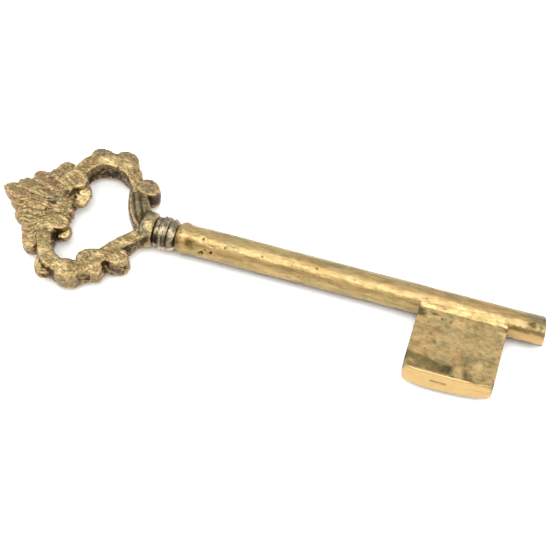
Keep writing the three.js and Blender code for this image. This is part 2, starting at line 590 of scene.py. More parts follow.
def move_points(mesh: bpy.types.Mesh, places: Floats) -> None:
    """Moves the mesh's points to new places, in metres."""
    mesh.vertices.foreach_set("co", places.astype(np.float32).ravel())
    mesh.update()


def normals_of(mesh: bpy.types.Mesh) -> Floats:
    """The mesh's point normals, one row each."""
    return read_rows(mesh.vertex_normals, "vector", 3, np.float32).astype(np.float64)


def edges_of(mesh: bpy.types.Mesh) -> Ints:
    """The mesh's edges, one row of two point numbers each."""
    return read_rows(mesh.edges, "vertices", 2, np.int32).astype(np.int64)


def averaged(values: Floats, edges: Ints, rounds: int, share: float = 0.5) -> Floats:
    """Moves each point's values towards the mean of its neighbours, several times.

    Args:
        values: One row per point.
        edges: Pairs of neighbouring points.
        rounds: How many times.
        share: How far towards the mean each time.

    Returns:
        The smoothed values.
    """
    count = np.bincount(edges.ravel(), minlength=len(values))[:, None]
    smoothed = values.copy()
    for _ in range(rounds):
        total = np.zeros_like(smoothed)
        for column in range(values.shape[1]):
            total[:, column] = np.bincount(
                edges[:, 0], smoothed[edges[:, 1], column], len(values)
            ) + np.bincount(edges[:, 1], smoothed[edges[:, 0], column], len(values))
        smoothed += share * (total / count - smoothed)
    return smoothed


def hollow_depth(mesh: bpy.types.Mesh, rounds: int) -> Floats:
    """How far each point lies below the smoothed surface round it, in millimetres.

    It is the way from the point to its place after smoothing, measured along the point's normal:
    positive in a hollow and negative on a ridge.

    Args:
        mesh: The finished mesh, in metres.
        rounds: Rounds of smoothing. More rounds see wider hollows.

    Returns:
        One number per point.
    """
    places = points_of(mesh) / MM
    moved = averaged(places, edges_of(mesh), rounds) - places
    return np.einsum("ij,ij->i", moved, normals_of(mesh))


def set_marks(mesh: bpy.types.Mesh, marks: dict[Mark, Floats]) -> None:
    """Stores one number per point and mark for the finishes to read, and 0 for a mark not given.

    Args:
        mesh: The mesh.
        marks: The numbers of each mark.
    """
    for mark in Mark:
        values = marks.get(mark, np.zeros(len(mesh.vertices)))
        stored = mesh.attributes.new(mark.value, "FLOAT", "POINT")
        stored.data.foreach_set("value", np.clip(values, -1.5, 1.5).astype(np.float32))


def fused(piece: bpy.types.Object, voxel: float) -> bpy.types.Object:
    """Fuses the overlapping shells of a piece into one skin, as molten metal would.

    Args:
        piece: Object whose mesh holds overlapping closed shells.
        voxel: Cell size of the remesh, in metres.

    Returns:
        The same object with one closed mesh.
    """
    remesh = piece.modifiers.new("fuse", "REMESH")
    remesh.mode = "VOXEL"
    remesh.voxel_size = voxel
    remesh.use_smooth_shade = True
    old = piece.data
    graph = bpy.context.evaluated_depsgraph_get()
    new = bpy.data.meshes.new_from_object(piece.evaluated_get(graph))
    piece.modifiers.clear()
    piece.data = new
    new.name = piece.name
    bpy.data.meshes.remove(old)
    return piece


def largest_shell(mesh: bpy.types.Mesh) -> None:
    """Deletes every loose shell but the largest, such as bubbles left inside by the remesh.

    Args:
        mesh: The mesh to clean.
    """
    edges = edges_of(mesh)
    label = np.arange(len(mesh.vertices))
    while True:
        low = np.minimum(label[edges[:, 0]], label[edges[:, 1]])
        new = label.copy()
        np.minimum.at(new, edges[:, 0], low)
        np.minimum.at(new, edges[:, 1], low)
        new = new[new]
        if np.array_equal(new, label):
            break
        label = new
    kept = np.bincount(label).argmax()
    if (label == kept).all():
        return
    work = bmesh.new()
    work.from_mesh(mesh)
    work.verts.ensure_lookup_table()
    loose = [work.verts[i] for i in np.flatnonzero(label != kept)]
    bmesh.ops.delete(work, geom=loose, context="VERTS")
    work.to_mesh(mesh)
    work.free()


# ---------------------------------------------------------------------------------------------
# Shader groups that more than one finish uses
# ---------------------------------------------------------------------------------------------


class Link:
    """Short way to add nodes to a tree and join them."""

    def __init__(self, tree: bpy.types.NodeTree) -> None:
        """Keeps the node tree of a material, a group or the world."""
        self.tree = tree

    def node(self, kind: str, **values: object) -> bpy.types.Node:
        """Adds a node.

        Args:
            kind: Node type name after ShaderNode.
            values: Node properties to set.

        Returns:
            The node.
        """
        made = self.tree.nodes.new("ShaderNode" + kind)
        for name, value in values.items():
            setattr(made, name, value)
        return made

    def feed(self, socket: bpy.types.NodeSocket, source: object) -> None:
        """Gives a socket a plain value or a link.

        Args:
            socket: Input socket.
            source: A number, a colour or an output socket.
        """
        if isinstance(source, bpy.types.NodeSocket):
            self.tree.links.new(source, socket)
        elif isinstance(source, tuple) and socket.type == "RGBA" and len(source) == 3:
            socket.default_value = (*source, 1.0)
        else:
            socket.default_value = source

    def group(self, tree: bpy.types.NodeTree, **inputs: object) -> Collection:
        """Places a shader group and feeds its inputs by name.

        Args:
            tree: The group.
            inputs: A number, a colour or a socket for each input.

        Returns:
            The group's outputs.
        """
        made = self.node("Group", node_tree=tree)
        for name, source in inputs.items():
            self.feed(made.inputs[name], source)
        return made.outputs

    def math(self, operation: str, *sources: object, clamp: bool = False) -> bpy.types.NodeSocket:
        """Adds a Math node.

        Args:
            operation: Name of its operation.
            sources: A number or a socket for each input.
            clamp: True keeps the result from 0 to 1.

        Returns:
            Its output.
        """
        made = self.node("Math", operation=operation, use_clamp=clamp)
        for socket, source in zip(made.inputs, sources):
            self.feed(socket, source)
        return made.outputs[0]

    def plus(self, first: object, second: object) -> bpy.types.NodeSocket:
        """The sum of two values."""
        return self.math("ADD", first, second)

    def minus(self, first: object, second: object) -> bpy.types.NodeSocket:
        """The difference of two values."""
        return self.math("SUBTRACT", first, second)

    def times(self, first: object, second: object) -> bpy.types.NodeSocket:
        """The product of two values."""
        return self.math("MULTIPLY", first, second)

    def between(self, source: object, low: object, high: object) -> bpy.types.NodeSocket:
        """Adds a smooth Map Range.

        Args:
            source: The value.
            low: Value where the result is 0.
            high: Value where the result is 1.

        Returns:
            Its output, from 0 to 1.
        """
        made = self.node("MapRange", interpolation_type="SMOOTHSTEP")
        for name, given in (("Value", source), ("From Min", low), ("From Max", high)):
            self.feed(made.inputs[name], given)
        return made.outputs["Result"]

    def blend(self, share: object, first: object, second: object) -> bpy.types.NodeSocket:
        """Adds a colour Mix.

        The node keeps its colour sockets after those of numbers and vectors, so they go by place: the
        share is input 0, the colours are inputs 6 and 7, and the result is output 2.

        Args:
            share: 0 gives the first colour and 1 the second.
            first: A colour or a socket.
            second: A colour or a socket.

        Returns:
            Its colour output.
        """
        made = self.node("Mix", data_type="RGBA")
        for place, given in ((0, share), (6, first), (7, second)):
            self.feed(made.inputs[place], given)
        return made.outputs[2]

    def noise(
        self, where: object, scale: object, detail: float, rough_by: float = 0.6
    ) -> bpy.types.NodeSocket:
        """Adds a Noise Texture.

        Args:
            where: Coordinates.
            scale: Cells in a metre.
            detail: Number of finer layers.
            rough_by: Strength of each finer layer.

        Returns:
            Its value, about 0.5 on average.
        """
        made = self.node("TexNoise")
        given = {"Vector": where, "Scale": scale, "Detail": detail, "Roughness": rough_by}
        for name, source in given.items():
            self.feed(made.inputs[name], source)
        return made.outputs["Fac"]

    def stretched(self, where: bpy.types.NodeSocket, along: float) -> bpy.types.NodeSocket:
        """Coordinates scaled along the stem, so that a pattern is drawn out into streaks.

        Args:
            where: Object coordinates.
            along: Scale along x. Less than 1 draws the pattern out.

        Returns:
            The new coordinates.
        """
        made = self.node("Mapping")
        self.feed(made.inputs["Vector"], where)
        made.inputs["Scale"].default_value = (along, 1.0, 1.0)
        return made.outputs["Vector"]


class Groups:
    """The shader groups that all the brass finishes share, each built once."""

    def __init__(self) -> None:
        """Builds the three groups."""
        self.grain = self._grain()
        self.tone = self._tone()
        self.tarnish_and_shade = self._tarnish_and_shade()

    def _start(
        self, name: str, inputs: dict[str, str], outputs: dict[str, str]
    ) -> tuple[Link, Collection, Collection]:
        """Makes an empty group with its sockets.

        Args:
            name: Group name.
            inputs: Socket names and kinds.
            outputs: Socket names and kinds.

        Returns:
            The link helper, the sockets that bring the inputs and those that take the outputs.
        """
        tree = bpy.data.node_groups.new(name, "ShaderNodeTree")
        for direction, sockets in (("INPUT", inputs), ("OUTPUT", outputs)):
            for label, kind in sockets.items():
                tree.interface.new_socket(name=label, in_out=direction, socket_type="NodeSocket" + kind)
        given, result = tree.nodes.new("NodeGroupInput"), tree.nodes.new("NodeGroupOutput")
        return Link(tree), given.outputs, result.inputs

    def _grain(self) -> bpy.types.NodeTree:
        """Sand-cast grain: fine noise and round knobs added into one height, less small pores.

        Returns:
            The group, with inputs Vector, Size and Pores and outputs Height and Pore.
        """
        link, given, result = self._start(
            "cast grain",
            {"Vector": "Vector", "Size": "Float", "Pores": "Float"},
            {"Height": "Float", "Pore": "Float"},
        )
        scale = link.math("DIVIDE", 1.0, given["Size"])
        fine = link.noise(given["Vector"], scale, 3.0, 0.65)
        cells = link.node("TexVoronoi", feature="F1")
        link.feed(cells.inputs["Vector"], given["Vector"])
        link.feed(cells.inputs["Scale"], link.times(scale, 0.8))
        knobs = link.minus(1.0, cells.outputs["Distance"])
        sparse = link.noise(given["Vector"], link.times(scale, 0.45), 1.0)
        gate = link.minus(0.78, link.times(given["Pores"], 0.2))
        pore = link.between(sparse, gate, link.plus(gate, 0.06))
        height = link.plus(link.times(fine, 0.6), link.times(knobs, 0.4))
        link.feed(result["Height"], link.minus(height, pore))
        link.feed(result["Pore"], pore)
        return link.tree

    def _tone(self) -> bpy.types.NodeTree:
        """Brass colour that drifts between three tones in soft patches.

        Returns:
            The group, with inputs Vector, Patch, Drift, Clean, Warm and Olive and output Colour.
        """
        inputs = {"Vector": "Vector", "Patch": "Float", "Drift": "Float"}
        inputs |= {name: "Color" for name in ("Clean", "Warm", "Olive")}
        link, given, result = self._start("brass tone", inputs, {"Colour": "Color"})
        scale = link.math("DIVIDE", 1.0, given["Patch"])
        shifted = link.node("VectorMath", operation="ADD")
        link.feed(shifted.inputs[0], given["Vector"])
        shifted.inputs[1].default_value = (0.31, 0.17, 0.05)
        warm = link.noise(given["Vector"], scale, 4.0)
        olive = link.noise(shifted.outputs[0], link.times(scale, 1.7), 4.0)
        warm_share = link.times(link.between(warm, 0.45, 0.7), given["Drift"])
        olive_share = link.times(link.between(olive, 0.48, 0.7), given["Drift"])
        first = link.blend(warm_share, given["Clean"], given["Warm"])
        link.feed(result["Colour"], link.blend(olive_share, first, given["Olive"]))
        return link.tree

    def _tarnish_and_shade(self) -> bpy.types.NodeTree:
        """Where tarnished metal and painted shade sit: hollows and marked areas, broken up by noise, and
        worn off on ridges.

        Returns:
            The group, with inputs Vector, Hollow, Mark, Amount and Size and outputs Mask and Ridge.
        """
        inputs = {"Vector": "Vector"}
        inputs |= {name: "Float" for name in ("Hollow", "Mark", "Amount", "Size")}
        link, given, result = self._start("tarnish_and_shade", inputs, {"Mask": "Float", "Ridge": "Float"})
        scale = link.math("DIVIDE", 1.0, given["Size"])
        ragged = link.minus(link.noise(given["Vector"], scale, 5.0, 0.7), 0.5)
        # Hollow depth and the marks give tarnished metal and painted shade.
        marked = link.plus(link.times(given["Hollow"], given["Amount"]), given["Mark"])
        level = link.plus(marked, link.times(ragged, 0.8))
        link.feed(result["Mask"], link.between(level, 0.15, 1.25))
        link.feed(result["Ridge"], link.between(link.times(given["Hollow"], -1.0), 0.1, 0.9))
        return link.tree


# ---------------------------------------------------------------------------------------------
# Finishes
# ---------------------------------------------------------------------------------------------


@dataclass(frozen=True)
class BrassFinish:
    """One way that the brass looks.

    Attributes:
        name: Material name.
        clean: Colour of rubbed metal.
        warm: Colour of its warmer patches.
        olive: Colour of its duller, greener patches.
        bright: Colour of worn ridges, of ground or worn places, and of painted highlights and reflections.
        brown: Colour of lightly tarnished metal and of light painted shade.
        dark: Colour of the most tarnished metal and of deep painted shade.
        copper: Colour of reddish places.
        patina: Colour of grey-green places.
        patch: Size of the patches, in metres.
        drift: How strongly the patches differ, 0 to 1.
        hollow_amount: How much a hollow darkens, as tarnished metal and painted shade.
        roughness: Roughness of clean metal, and of tarnished metal and painted shade.
        metallic: Metallic of the whole finish.
        grain_size: Size of the cast grain, in metres.
        grain_depth: Bump height of the grain, in metres.
        pores: How many small pores, 0 to 1.
        scratch: Strength of fine marks along the stem, 0 to 1.
        speckle: How strongly the grain's low spots stay brown, 0 to 1.
        along: Scale of the colour pattern along the stem. Less than 1 draws it into streaks.
    """

    name: str
    clean: Colour = (0.41, 0.30, 0.135)
    warm: Colour = (0.41, 0.255, 0.11)
    olive: Colour = (0.235, 0.20, 0.09)
    bright: Colour = (0.56, 0.39, 0.165)
    brown: Colour = (0.15, 0.10, 0.038)
    dark: Colour = (0.055, 0.037, 0.018)
    copper: Colour = (0.43, 0.22, 0.125)
    patina: Colour = (0.20, 0.18, 0.105)
    patch: float = 0.004
    drift: float = 0.6
    hollow_amount: float = 1.0
    roughness: tuple[float, float] = (0.36, 0.62)
    metallic: float = 0.95
    grain_size: float = 0.0004
    grain_depth: float = 0.00006
    pores: float = 0.3
    scratch: float = 0.0
    speckle: float = 0.5
    along: float = 1.0

    def build(self, groups: Groups) -> bpy.types.Material:
        """Builds the material.

        Args:
            groups: The shared shader groups.

        Returns:
            The material, ready to put on a piece.
        """
        material = bpy.data.materials.new(self.name)
        material.use_nodes = True
        link = Link(material.node_tree)
        shader = material.node_tree.nodes["Principled BSDF"]
        where = link.node("TexCoord").outputs["Object"]
        marks = {mark: self._read(link, mark) for mark in Mark}
        tarnish_and_shade = link.group(
            groups.tarnish_and_shade,
            Vector=where,
            Hollow=marks[Mark.HOLLOW],
            Mark=marks[Mark.SOOT_AND_SHADE],
            Amount=self.hollow_amount,
            Size=self.patch * 0.45,
        )
        grain = link.group(groups.grain, Vector=where, Size=self.grain_size, Pores=self.pores)
        # Dark share: tarnished metal, dirt and pores, with painted shade from hollows and from the sooty
        # mark.
        dirt_and_shade = link.math("MAXIMUM", tarnish_and_shade["Mask"], link.times(grain["Pore"], 0.7))
        clean = self._clean_colour(link, groups, where, marks)
        # Bright share: worn ridges, with painted highlights and reflections from the worn-bright mark.
        worn = link.math("MAXIMUM", link.times(tarnish_and_shade["Ridge"], 0.6), link.times(marks[Mark.RUBBED_AND_HIGHLIT], 0.88))
        bright = link.blend(worn, clean, self.bright)
        browned = link.blend(link.between(dirt_and_shade, 0.0, 0.7), bright, self.brown)
        darkened = link.blend(link.between(dirt_and_shade, 0.6, 1.0), browned, self.dark)
        link.feed(shader.inputs["Base Color"], darkened)
        link.feed(shader.inputs["Roughness"], self._dullness(link, where, dirt_and_shade))
        shader.inputs["Metallic"].default_value = self.metallic
        height = grain["Height"]
        if self.scratch:
            height = link.plus(height, self._scratches(link, where))
        bump = link.node("Bump")
        bump.inputs["Strength"].default_value = 1.0
        bump.inputs["Distance"].default_value = self.grain_depth
        link.feed(bump.inputs["Height"], height)
        link.feed(shader.inputs["Normal"], bump.outputs["Normal"])
        return material

    def _read(self, link: Link, mark: Mark) -> bpy.types.NodeSocket:
        """Reads one of the point attributes."""
        made = link.node("Attribute", attribute_name=mark.value, attribute_type="GEOMETRY")
        return made.outputs["Fac"]

    def _clean_colour(
        self,
        link: Link,
        groups: Groups,
        where: bpy.types.NodeSocket,
        marks: dict[Mark, bpy.types.NodeSocket],
    ) -> bpy.types.NodeSocket:
        """The metal's colour before tarnishing, wear and painted light and shade: its tones, coppery and
        green places, brown grain.

        Args:
            link: Helper of the material's tree.
            groups: The shared shader groups.
            where: Object coordinates.
            marks: Collection of the point attributes.

        Returns:
            A colour.
        """
        streaked = link.stretched(where, self.along)
        tone = link.group(
            groups.tone,
            Vector=streaked,
            Patch=self.patch,
            Drift=self.drift,
            Clean=self.clean,
            Warm=self.warm,
            Olive=self.olive,
        )
        coppered = link.blend(marks[Mark.COPPER], tone["Colour"], self.copper)
        dulled = link.blend(marks[Mark.PATINA], coppered, self.patina)
        fine = link.noise(streaked, 0.9 / self.grain_size, 2.0, 0.7)
        return link.blend(link.times(link.between(fine, 0.6, 0.36), self.speckle), dulled, self.brown)

    def _dullness(
        self, link: Link, where: bpy.types.NodeSocket, dirt_and_shade: bpy.types.NodeSocket
    ) -> bpy.types.NodeSocket:
        """Roughness: that of clean metal, varied by 0.12 each way in small spots, and more on dirty places
        and painted shade.

        Args:
            link: Helper of the material's tree.
            where: Object coordinates.
            dirt_and_shade: How dirty the place is, with its painted shade, 0 to 1.

        Returns:
            A roughness.
        """
        clean, dirty = self.roughness
        spots = link.noise(where, 1.0 / (self.grain_size * 2.2), 2.0)
        varied = link.plus(clean - 0.12, link.times(spots, 0.24))
        return link.math("ADD", varied, link.times(dirt_and_shade, dirty - clean), clamp=True)

    def _scratches(self, link: Link, where: bpy.types.NodeSocket) -> bpy.types.NodeSocket:
        """Height of fine marks: noise drawn out along the stem."""
        fine = link.noise(link.stretched(where, 0.08), 1.0 / (self.grain_size * 0.7), 3.0)
        return link.times(fine, self.scratch)


CAST = BrassFinish(
    "cast_bow_brass",
    clean=(0.31, 0.226, 0.1),
    warm=(0.325, 0.186, 0.083),
    olive=(0.176, 0.149, 0.063),
    bright=(0.62, 0.465, 0.23),
    brown=(0.088, 0.058, 0.029),
    copper=(0.36, 0.185, 0.115),
    patina=(0.155, 0.15, 0.095),
    patch=0.003,
    drift=0.75,
    hollow_amount=1.4,
    roughness=(0.28, 0.58),
    grain_size=0.00042,
    grain_depth=0.00025,
    pores=0.25,
    speckle=0.75,
)
NECK = BrassFinish(
    "tarnished_neck_brass",
    clean=(0.28, 0.235, 0.14),
    olive=(0.16, 0.16, 0.095),
    bright=(0.55, 0.46, 0.30),
    brown=(0.08, 0.065, 0.05),
    patina=(0.17, 0.165, 0.11),
    dark=(0.026, 0.022, 0.024),
    patch=0.0025,
    drift=0.9,
    hollow_amount=1.3,
    roughness=(0.28, 0.55),
    grain_size=0.0005,
    grain_depth=0.0001,
    pores=0.4,
)
STEM = BrassFinish(
    "worn_stem_brass",
    brown=(0.16, 0.105, 0.03),
    metallic=0.9,
    patch=0.0022,
    drift=0.95,
    hollow_amount=1.1,
    roughness=(0.36, 0.58),
    grain_size=0.0005,
    grain_depth=0.00006,
    pores=0.25,
    scratch=0.5,
    speckle=0.5,
    along=0.22,
)
FLAG = BrassFinish(
    "filed_bit_brass",
    olive=(0.22, 0.178, 0.08),
    bright=(0.52, 0.355, 0.15),
    brown=(0.14, 0.105, 0.042),
    patina=(0.24, 0.19, 0.11),
    patch=0.0036,
    drift=1.0,
    hollow_amount=1.0,
    roughness=(0.36, 0.6),
    grain_size=0.0006,
    grain_depth=0.00006,
    pores=0.15,
    speckle=0.5,
    along=0.7,
)


# ---------------------------------------------------------------------------------------------
# The key's pieces
# ---------------------------------------------------------------------------------------------


@dataclass(frozen=True)
class Dimple:
    """A small hollow in the skin, or a soft round mark on it.

    Attributes:
        at: Its place, in millimetres.
        radius: Its radius, in millimetres.
        depth: Its depth in millimetres, or how strong the mark is, 0 to 1.
    """

    at: Point3
    radius: float
    depth: float


Dimples = tuple[Dimple, ...]


def rows_of(*rows: tuple[float, float, float, float, float]) -> Dimples:
    """Dimples from rows of x, y, z, radius and depth."""
    return tuple(Dimple(row[:3], row[3], row[4]) for row in rows)


def dimpled(points: Floats, dimples: Dimples) -> Floats:
    """How deep the dimples press in at each point: depth times exp(-(distance / radius)^2), summed.

    Args:
        points: One row per point, in millimetres.
        dimples: The hollows.

    Returns:
        A depth for each point.
    """
    depth = np.zeros(len(points))
    for dimple in dimples:
        gap = np.linalg.norm(points - np.array(dimple.at), axis=1)
        depth += dimple.depth * np.exp(-((gap / dimple.radius) ** 2))
    return depth


def turn_of(points: Floats) -> Floats:
    """Angle about the stem's axis in degrees: 0 on the bit's side and 90 on top."""
    return np.degrees(np.arctan2(points[:, 2], -points[:, 1]))


def warped(points: Floats, amount: float, size: float, seed: int) -> Floats:
    """Shifts each point by three noises, so that round marks get ragged outlines.

    Args:
        points: One row per point, in millimetres.
        amount: Largest shift.
        size: Cell size of the noise.
        seed: Picks another pattern.

    Returns:
        The shifted points.
    """
    return points + amount * np.stack([rough(points, size, 2, seed + 5 * k) for k in range(3)], axis=1)


def painted(points: Floats, marks: Dimples, edge: float) -> Floats:
    """Soft round marks added up: each is its depth near its centre and falls to 0 at its radius.

    Args:
        points: One row per point, in millimetres.
        marks: The marks.
        edge: Share of each radius where the mark starts to fade.

    Returns:
        A strength for each point.
    """
    strength = np.zeros(len(points))
    for mark in marks:
        gap = np.linalg.norm(points - np.array(mark.at), axis=1)
        strength += mark.depth * (1 - smoothstep(mark.radius * edge, mark.radius, gap))
    return strength


def finish_piece(
    piece: bpy.types.Object, material: bpy.types.Material, nodes: list[str]
) -> None:
    """Gives a finished piece its material and body, and hides the CAD nodes that it replaces.

    Args:
        piece: The finished object.
        material: Its finish.
        nodes: CAD nodes that it replaces.
    """
    piece.data.materials.clear()
    piece.data.materials.append(material)
    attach(piece, BODY)
    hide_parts(*nodes)
    LOG.info("%s: %d points, %d faces", piece.name, len(piece.data.vertices), len(piece.data.polygons))


@dataclass
class Bow:
    """The cast openwork bow with its leaf crest, neck foot and tenon.

    Attributes:
        half_height: Half of the bow's height at its bars.
        voxel: Cell size of the fusing remesh, in metres.
        route: Corner points of the bar: x, y, half width and half height.
        lumps: Bosses: centre, radii, share of the half height, turn, tilt and squareness.
        leaves: Crest leaves: root, tip, half width, sideways bow, tilt and bluntness.
        strands: Ribs of the upper arm: sideways distance and thickness against the middle rib.
        arm: Middle line of the upper arm, from the bar down to the neck.
        arm_side: Sideways direction in which the strands part.
        foot_at: x of the middle of the neck foot.
        foot_half: Half of the foot's length along the stem.
        foot_core: Radius of the foot at its two ends.
        foot_swell: How much its middle stands out beyond that.
        foot_squash: Its height against its width.
        tenon_radius: Radius of the peg that the rings and the stem are threaded on.
        tenon_ends: x of the peg's two ends.
        crest_root: Where the chased lines of the crest fan out from.
        crest_lines: Lines in a radian of that fan, times pi.
        line_height: Height from the bottom to the top of a line.
        calm: Where the facets are weaker, on the upper arm.
        dark_spots: Sooty places, and painted shade in recesses and on shaded walls.
        patina: Grey-green places.
        copper: Reddish places.
        rubbed_and_highlit: Painted highlights on the lit rims and the foot's top, and painted reflections
            of the floor on walls and the foot's underside.
        recesses: Deep hollows in the casting.
    """

    half_height: float = 2.35
    voxel: float = 0.00019
    route: tuple[Row4, ...] = (
        (-76.9, 1.0, 1.3, 2.0), (-78.6, 2.2, 1.1, 1.8), (-80.6, 4.6, 1.35, 1.9),
        (-82.7, 8.0, 1.25, 2.0), (-85.6, 11.3, 1.7, 2.3), (-89.4, 12.5, 1.8, 2.35),
        (-92.9, 11.2, 1.7, 2.35), (-95.0, 7.8, 1.6, 2.3), (-96.0, 3.2, 1.6, 2.2),
        (-96.6, -1.2, 1.6, 2.2), (-96.2, -5.8, 1.6, 2.2), (-95.3, -9.8, 1.5, 2.3),
        (-92.8, -13.2, 1.6, 2.35), (-89.2, -14.2, 1.6, 2.35), (-86.0, -12.7, 1.6, 2.3),
        (-83.4, -9.4, 1.6, 2.3), (-81.0, -5.6, 1.35, 2.2), (-79.0, -3.0, 1.2, 2.0),
        (-76.9, -1.6, 1.3, 2.0),
    )
    lumps: tuple[Lump, ...] = (
        Lump((-80.5, 8.1), (2.3, 1.9), 0.95, -25, (0.0, -0.05), 0.16),
        Lump((-80.9, -9.0), (2.4, 1.9), 1.0, 12, (0.03, -0.03), 0.15),
        Lump((-95.0, 5.6), (2.5, 2.3), 1.03, 20, (-0.03, 0.04), 0.15),
        Lump((-92.9, 3.5), (1.8, 2.6), 0.42, 8, (-0.12, 0.03), 0.28),
        Lump((-94.5, -4.9), (2.4, 1.8), 1.03, -8, (0.0, 0.05), 0.15),
        Lump((-92.9, -5.9), (1.4, 1.6), 0.35, 0, (0.0, 0.0), 0.3),
        Lump((-85.3, -10.6), (2.8, 1.9), 0.97, 18, (0.0, 0.06), 0.2),
        Lump((-84.5, -12.2), (2.1, 1.9), 0.8, 0, (0.0, 0.12), 0.25),
        Lump((-88.9, -14.3), (2.7, 2.2), 0.95, -6, (0.0, 0.05), 0.22),
        Lump((-93.4, -14.0), (2.2, 2.3), 0.52, 30, (0.08, 0.12), 0.25),
        Lump((-98.2, -9.1), (2.0, 2.7), 0.74, 22, (0.1, 0.02), 0.28),
        Lump((-97.9, 7.8), (2.0, 2.1), 0.72, -20, (0.08, -0.1), 0.28),
        Lump((-92.3, 13.2), (2.5, 2.1), 0.6, 10, (0.0, -0.1), 0.28),
        Lump((-87.3, 13.6), (2.6, 2.2), 0.68, -30, (0.02, -0.12), 0.25),
        Lump((-84.9, 10.9), (1.7, 1.5), 0.7, 0, (-0.05, -0.08), 0.25),
        Lump((-98.4, -0.8), (5.0, 7.2), 0.78, 0, (0.02, 0.0), 0.25),
    )
    leaves: tuple[Leaf, ...] = (
        Leaf((-92.5, -1.0), (-108.6, 1.0), 2.5, 0.3, 0.12, 1.1),
        Leaf((-92.5, 0.8), (-106.2, 3.0), 2.1, 0.3, 0.2, 1.5),
        Leaf((-92.5, 2.6), (-103.9, 5.6), 2.1, 0.4, 0.2, 1.5),
        Leaf((-92.5, 4.6), (-100.7, 7.6), 2.0, 0.4, 0.15, 1.4),
        Leaf((-92.5, -2.6), (-106.0, -1.9), 2.0, -0.2, -0.15, 1.5),
        Leaf((-92.5, -4.2), (-103.8, -4.7), 2.1, -0.3, -0.18, 1.5),
        Leaf((-92.5, -6.0), (-101.2, -7.6), 2.0, -0.4, -0.15, 1.4),
    )
    strands: tuple[Point2, ...] = ((-1.25, 0.85), (0.0, 1.0), (1.2, 0.8))
    arm: tuple[Point2, ...] = ((-83.7, 8.9), (-82.3, 6.0), (-80.9, 3.2), (-79.6, 0.6), (-78.4, -1.6))
    arm_side: Point2 = (0.9, 0.42)
    foot_at: float = -77.5
    foot_half: float = 1.38
    foot_core: float = 2.5
    foot_swell: float = 1.1
    foot_squash: float = 0.88
    tenon_radius: float = 1.6
    tenon_ends: Point2 = (-78.0, -64.7)
    crest_root: Point2 = (-88.0, -1.0)
    crest_lines: float = 46.0
    line_height: float = 0.24
    calm: Dimples = rows_of((-81.2, 4.0, 0.8, 5.5, 0.8))
    # Soot, and painted shade in the recesses and on the shaded walls of the knobs, lobes and arms.
    dark_spots: Dimples = rows_of(
        (-93.4, 9.2, -0.6, 2.2, 0.8), (-91.0, 11.0, -0.2, 1.9, 0.7), (-88.2, 11.8, -0.4, 2.1, 0.8),
        (-79.2, 6.8, 0.2, 2.3, 0.8), (-95.0, 2.2, 1.4, 1.9, 0.9), (-94.6, 2.8, 0.0, 2.1, 0.7),
        (-93.0, 0.6, -1.8, 1.6, 0.7), (-94.0, -7.0, 0.4, 1.9, 0.55), (-79.6, -6.2, 0.6, 2.2, 0.9),
        (-82.8, -10.9, 0.9, 1.5, 0.8), (-79.8, -10.6, 0.0, 1.9, 0.5), (-86.6, -13.3, 1.0, 1.3, 0.6),
        (-92.8, -15.6, 0.6, 2.2, 0.6), (-91.4, -14.8, 1.4, 0.9, 0.9), (-78.9, 0.2, 1.4, 2.3, 1.0),
        (-81.6, 4.6, 1.2, 3.4, 0.8), (-79.8, 1.6, 1.2, 2.4, 0.8), (-77.3, -2.2, 1.3, 1.8, 0.85),
        (-78.6, -3.0, 0.6, 1.6, 0.8), (-97.3, -0.4, 2.0, 1.3, 0.6), (-97.4, -2.8, 2.0, 1.3, 0.5),
        (-98.0, -4.9, 2.0, 1.2, 0.4), (-90.0, 13.9, 1.4, 1.5, 0.4),
    )
    patina: Dimples = rows_of(
        (-77.4, -0.4, 2.2, 3.0, 0.6), (-81.6, 5.0, 1.4, 3.0, 0.75), (-80.0, 1.6, 1.4, 3.0, 0.85),
        (-78.2, -1.6, 1.2, 2.8, 0.8), (-92.2, 13.4, 1.2, 2.4, 0.5), (-80.4, 9.0, 1.8, 2.0, 0.55),
        (-97.0, 0.5, 2.2, 2.2, 0.5), (-94.6, 2.6, 0.4, 2.2, 0.5),
    )
    copper: Dimples = rows_of(
        (-101.4, 4.4, 1.8, 2.2, 0.6), (-99.2, 3.2, 2.1, 1.8, 0.55), (-97.6, 2.2, 2.2, 1.5, 0.55),
        (-104.8, -1.6, 1.8, 2.6, 0.35), (-99.0, -9.0, 1.5, 2.4, 0.35), (-87.0, 14.0, 1.4, 2.2, 0.3),
    )
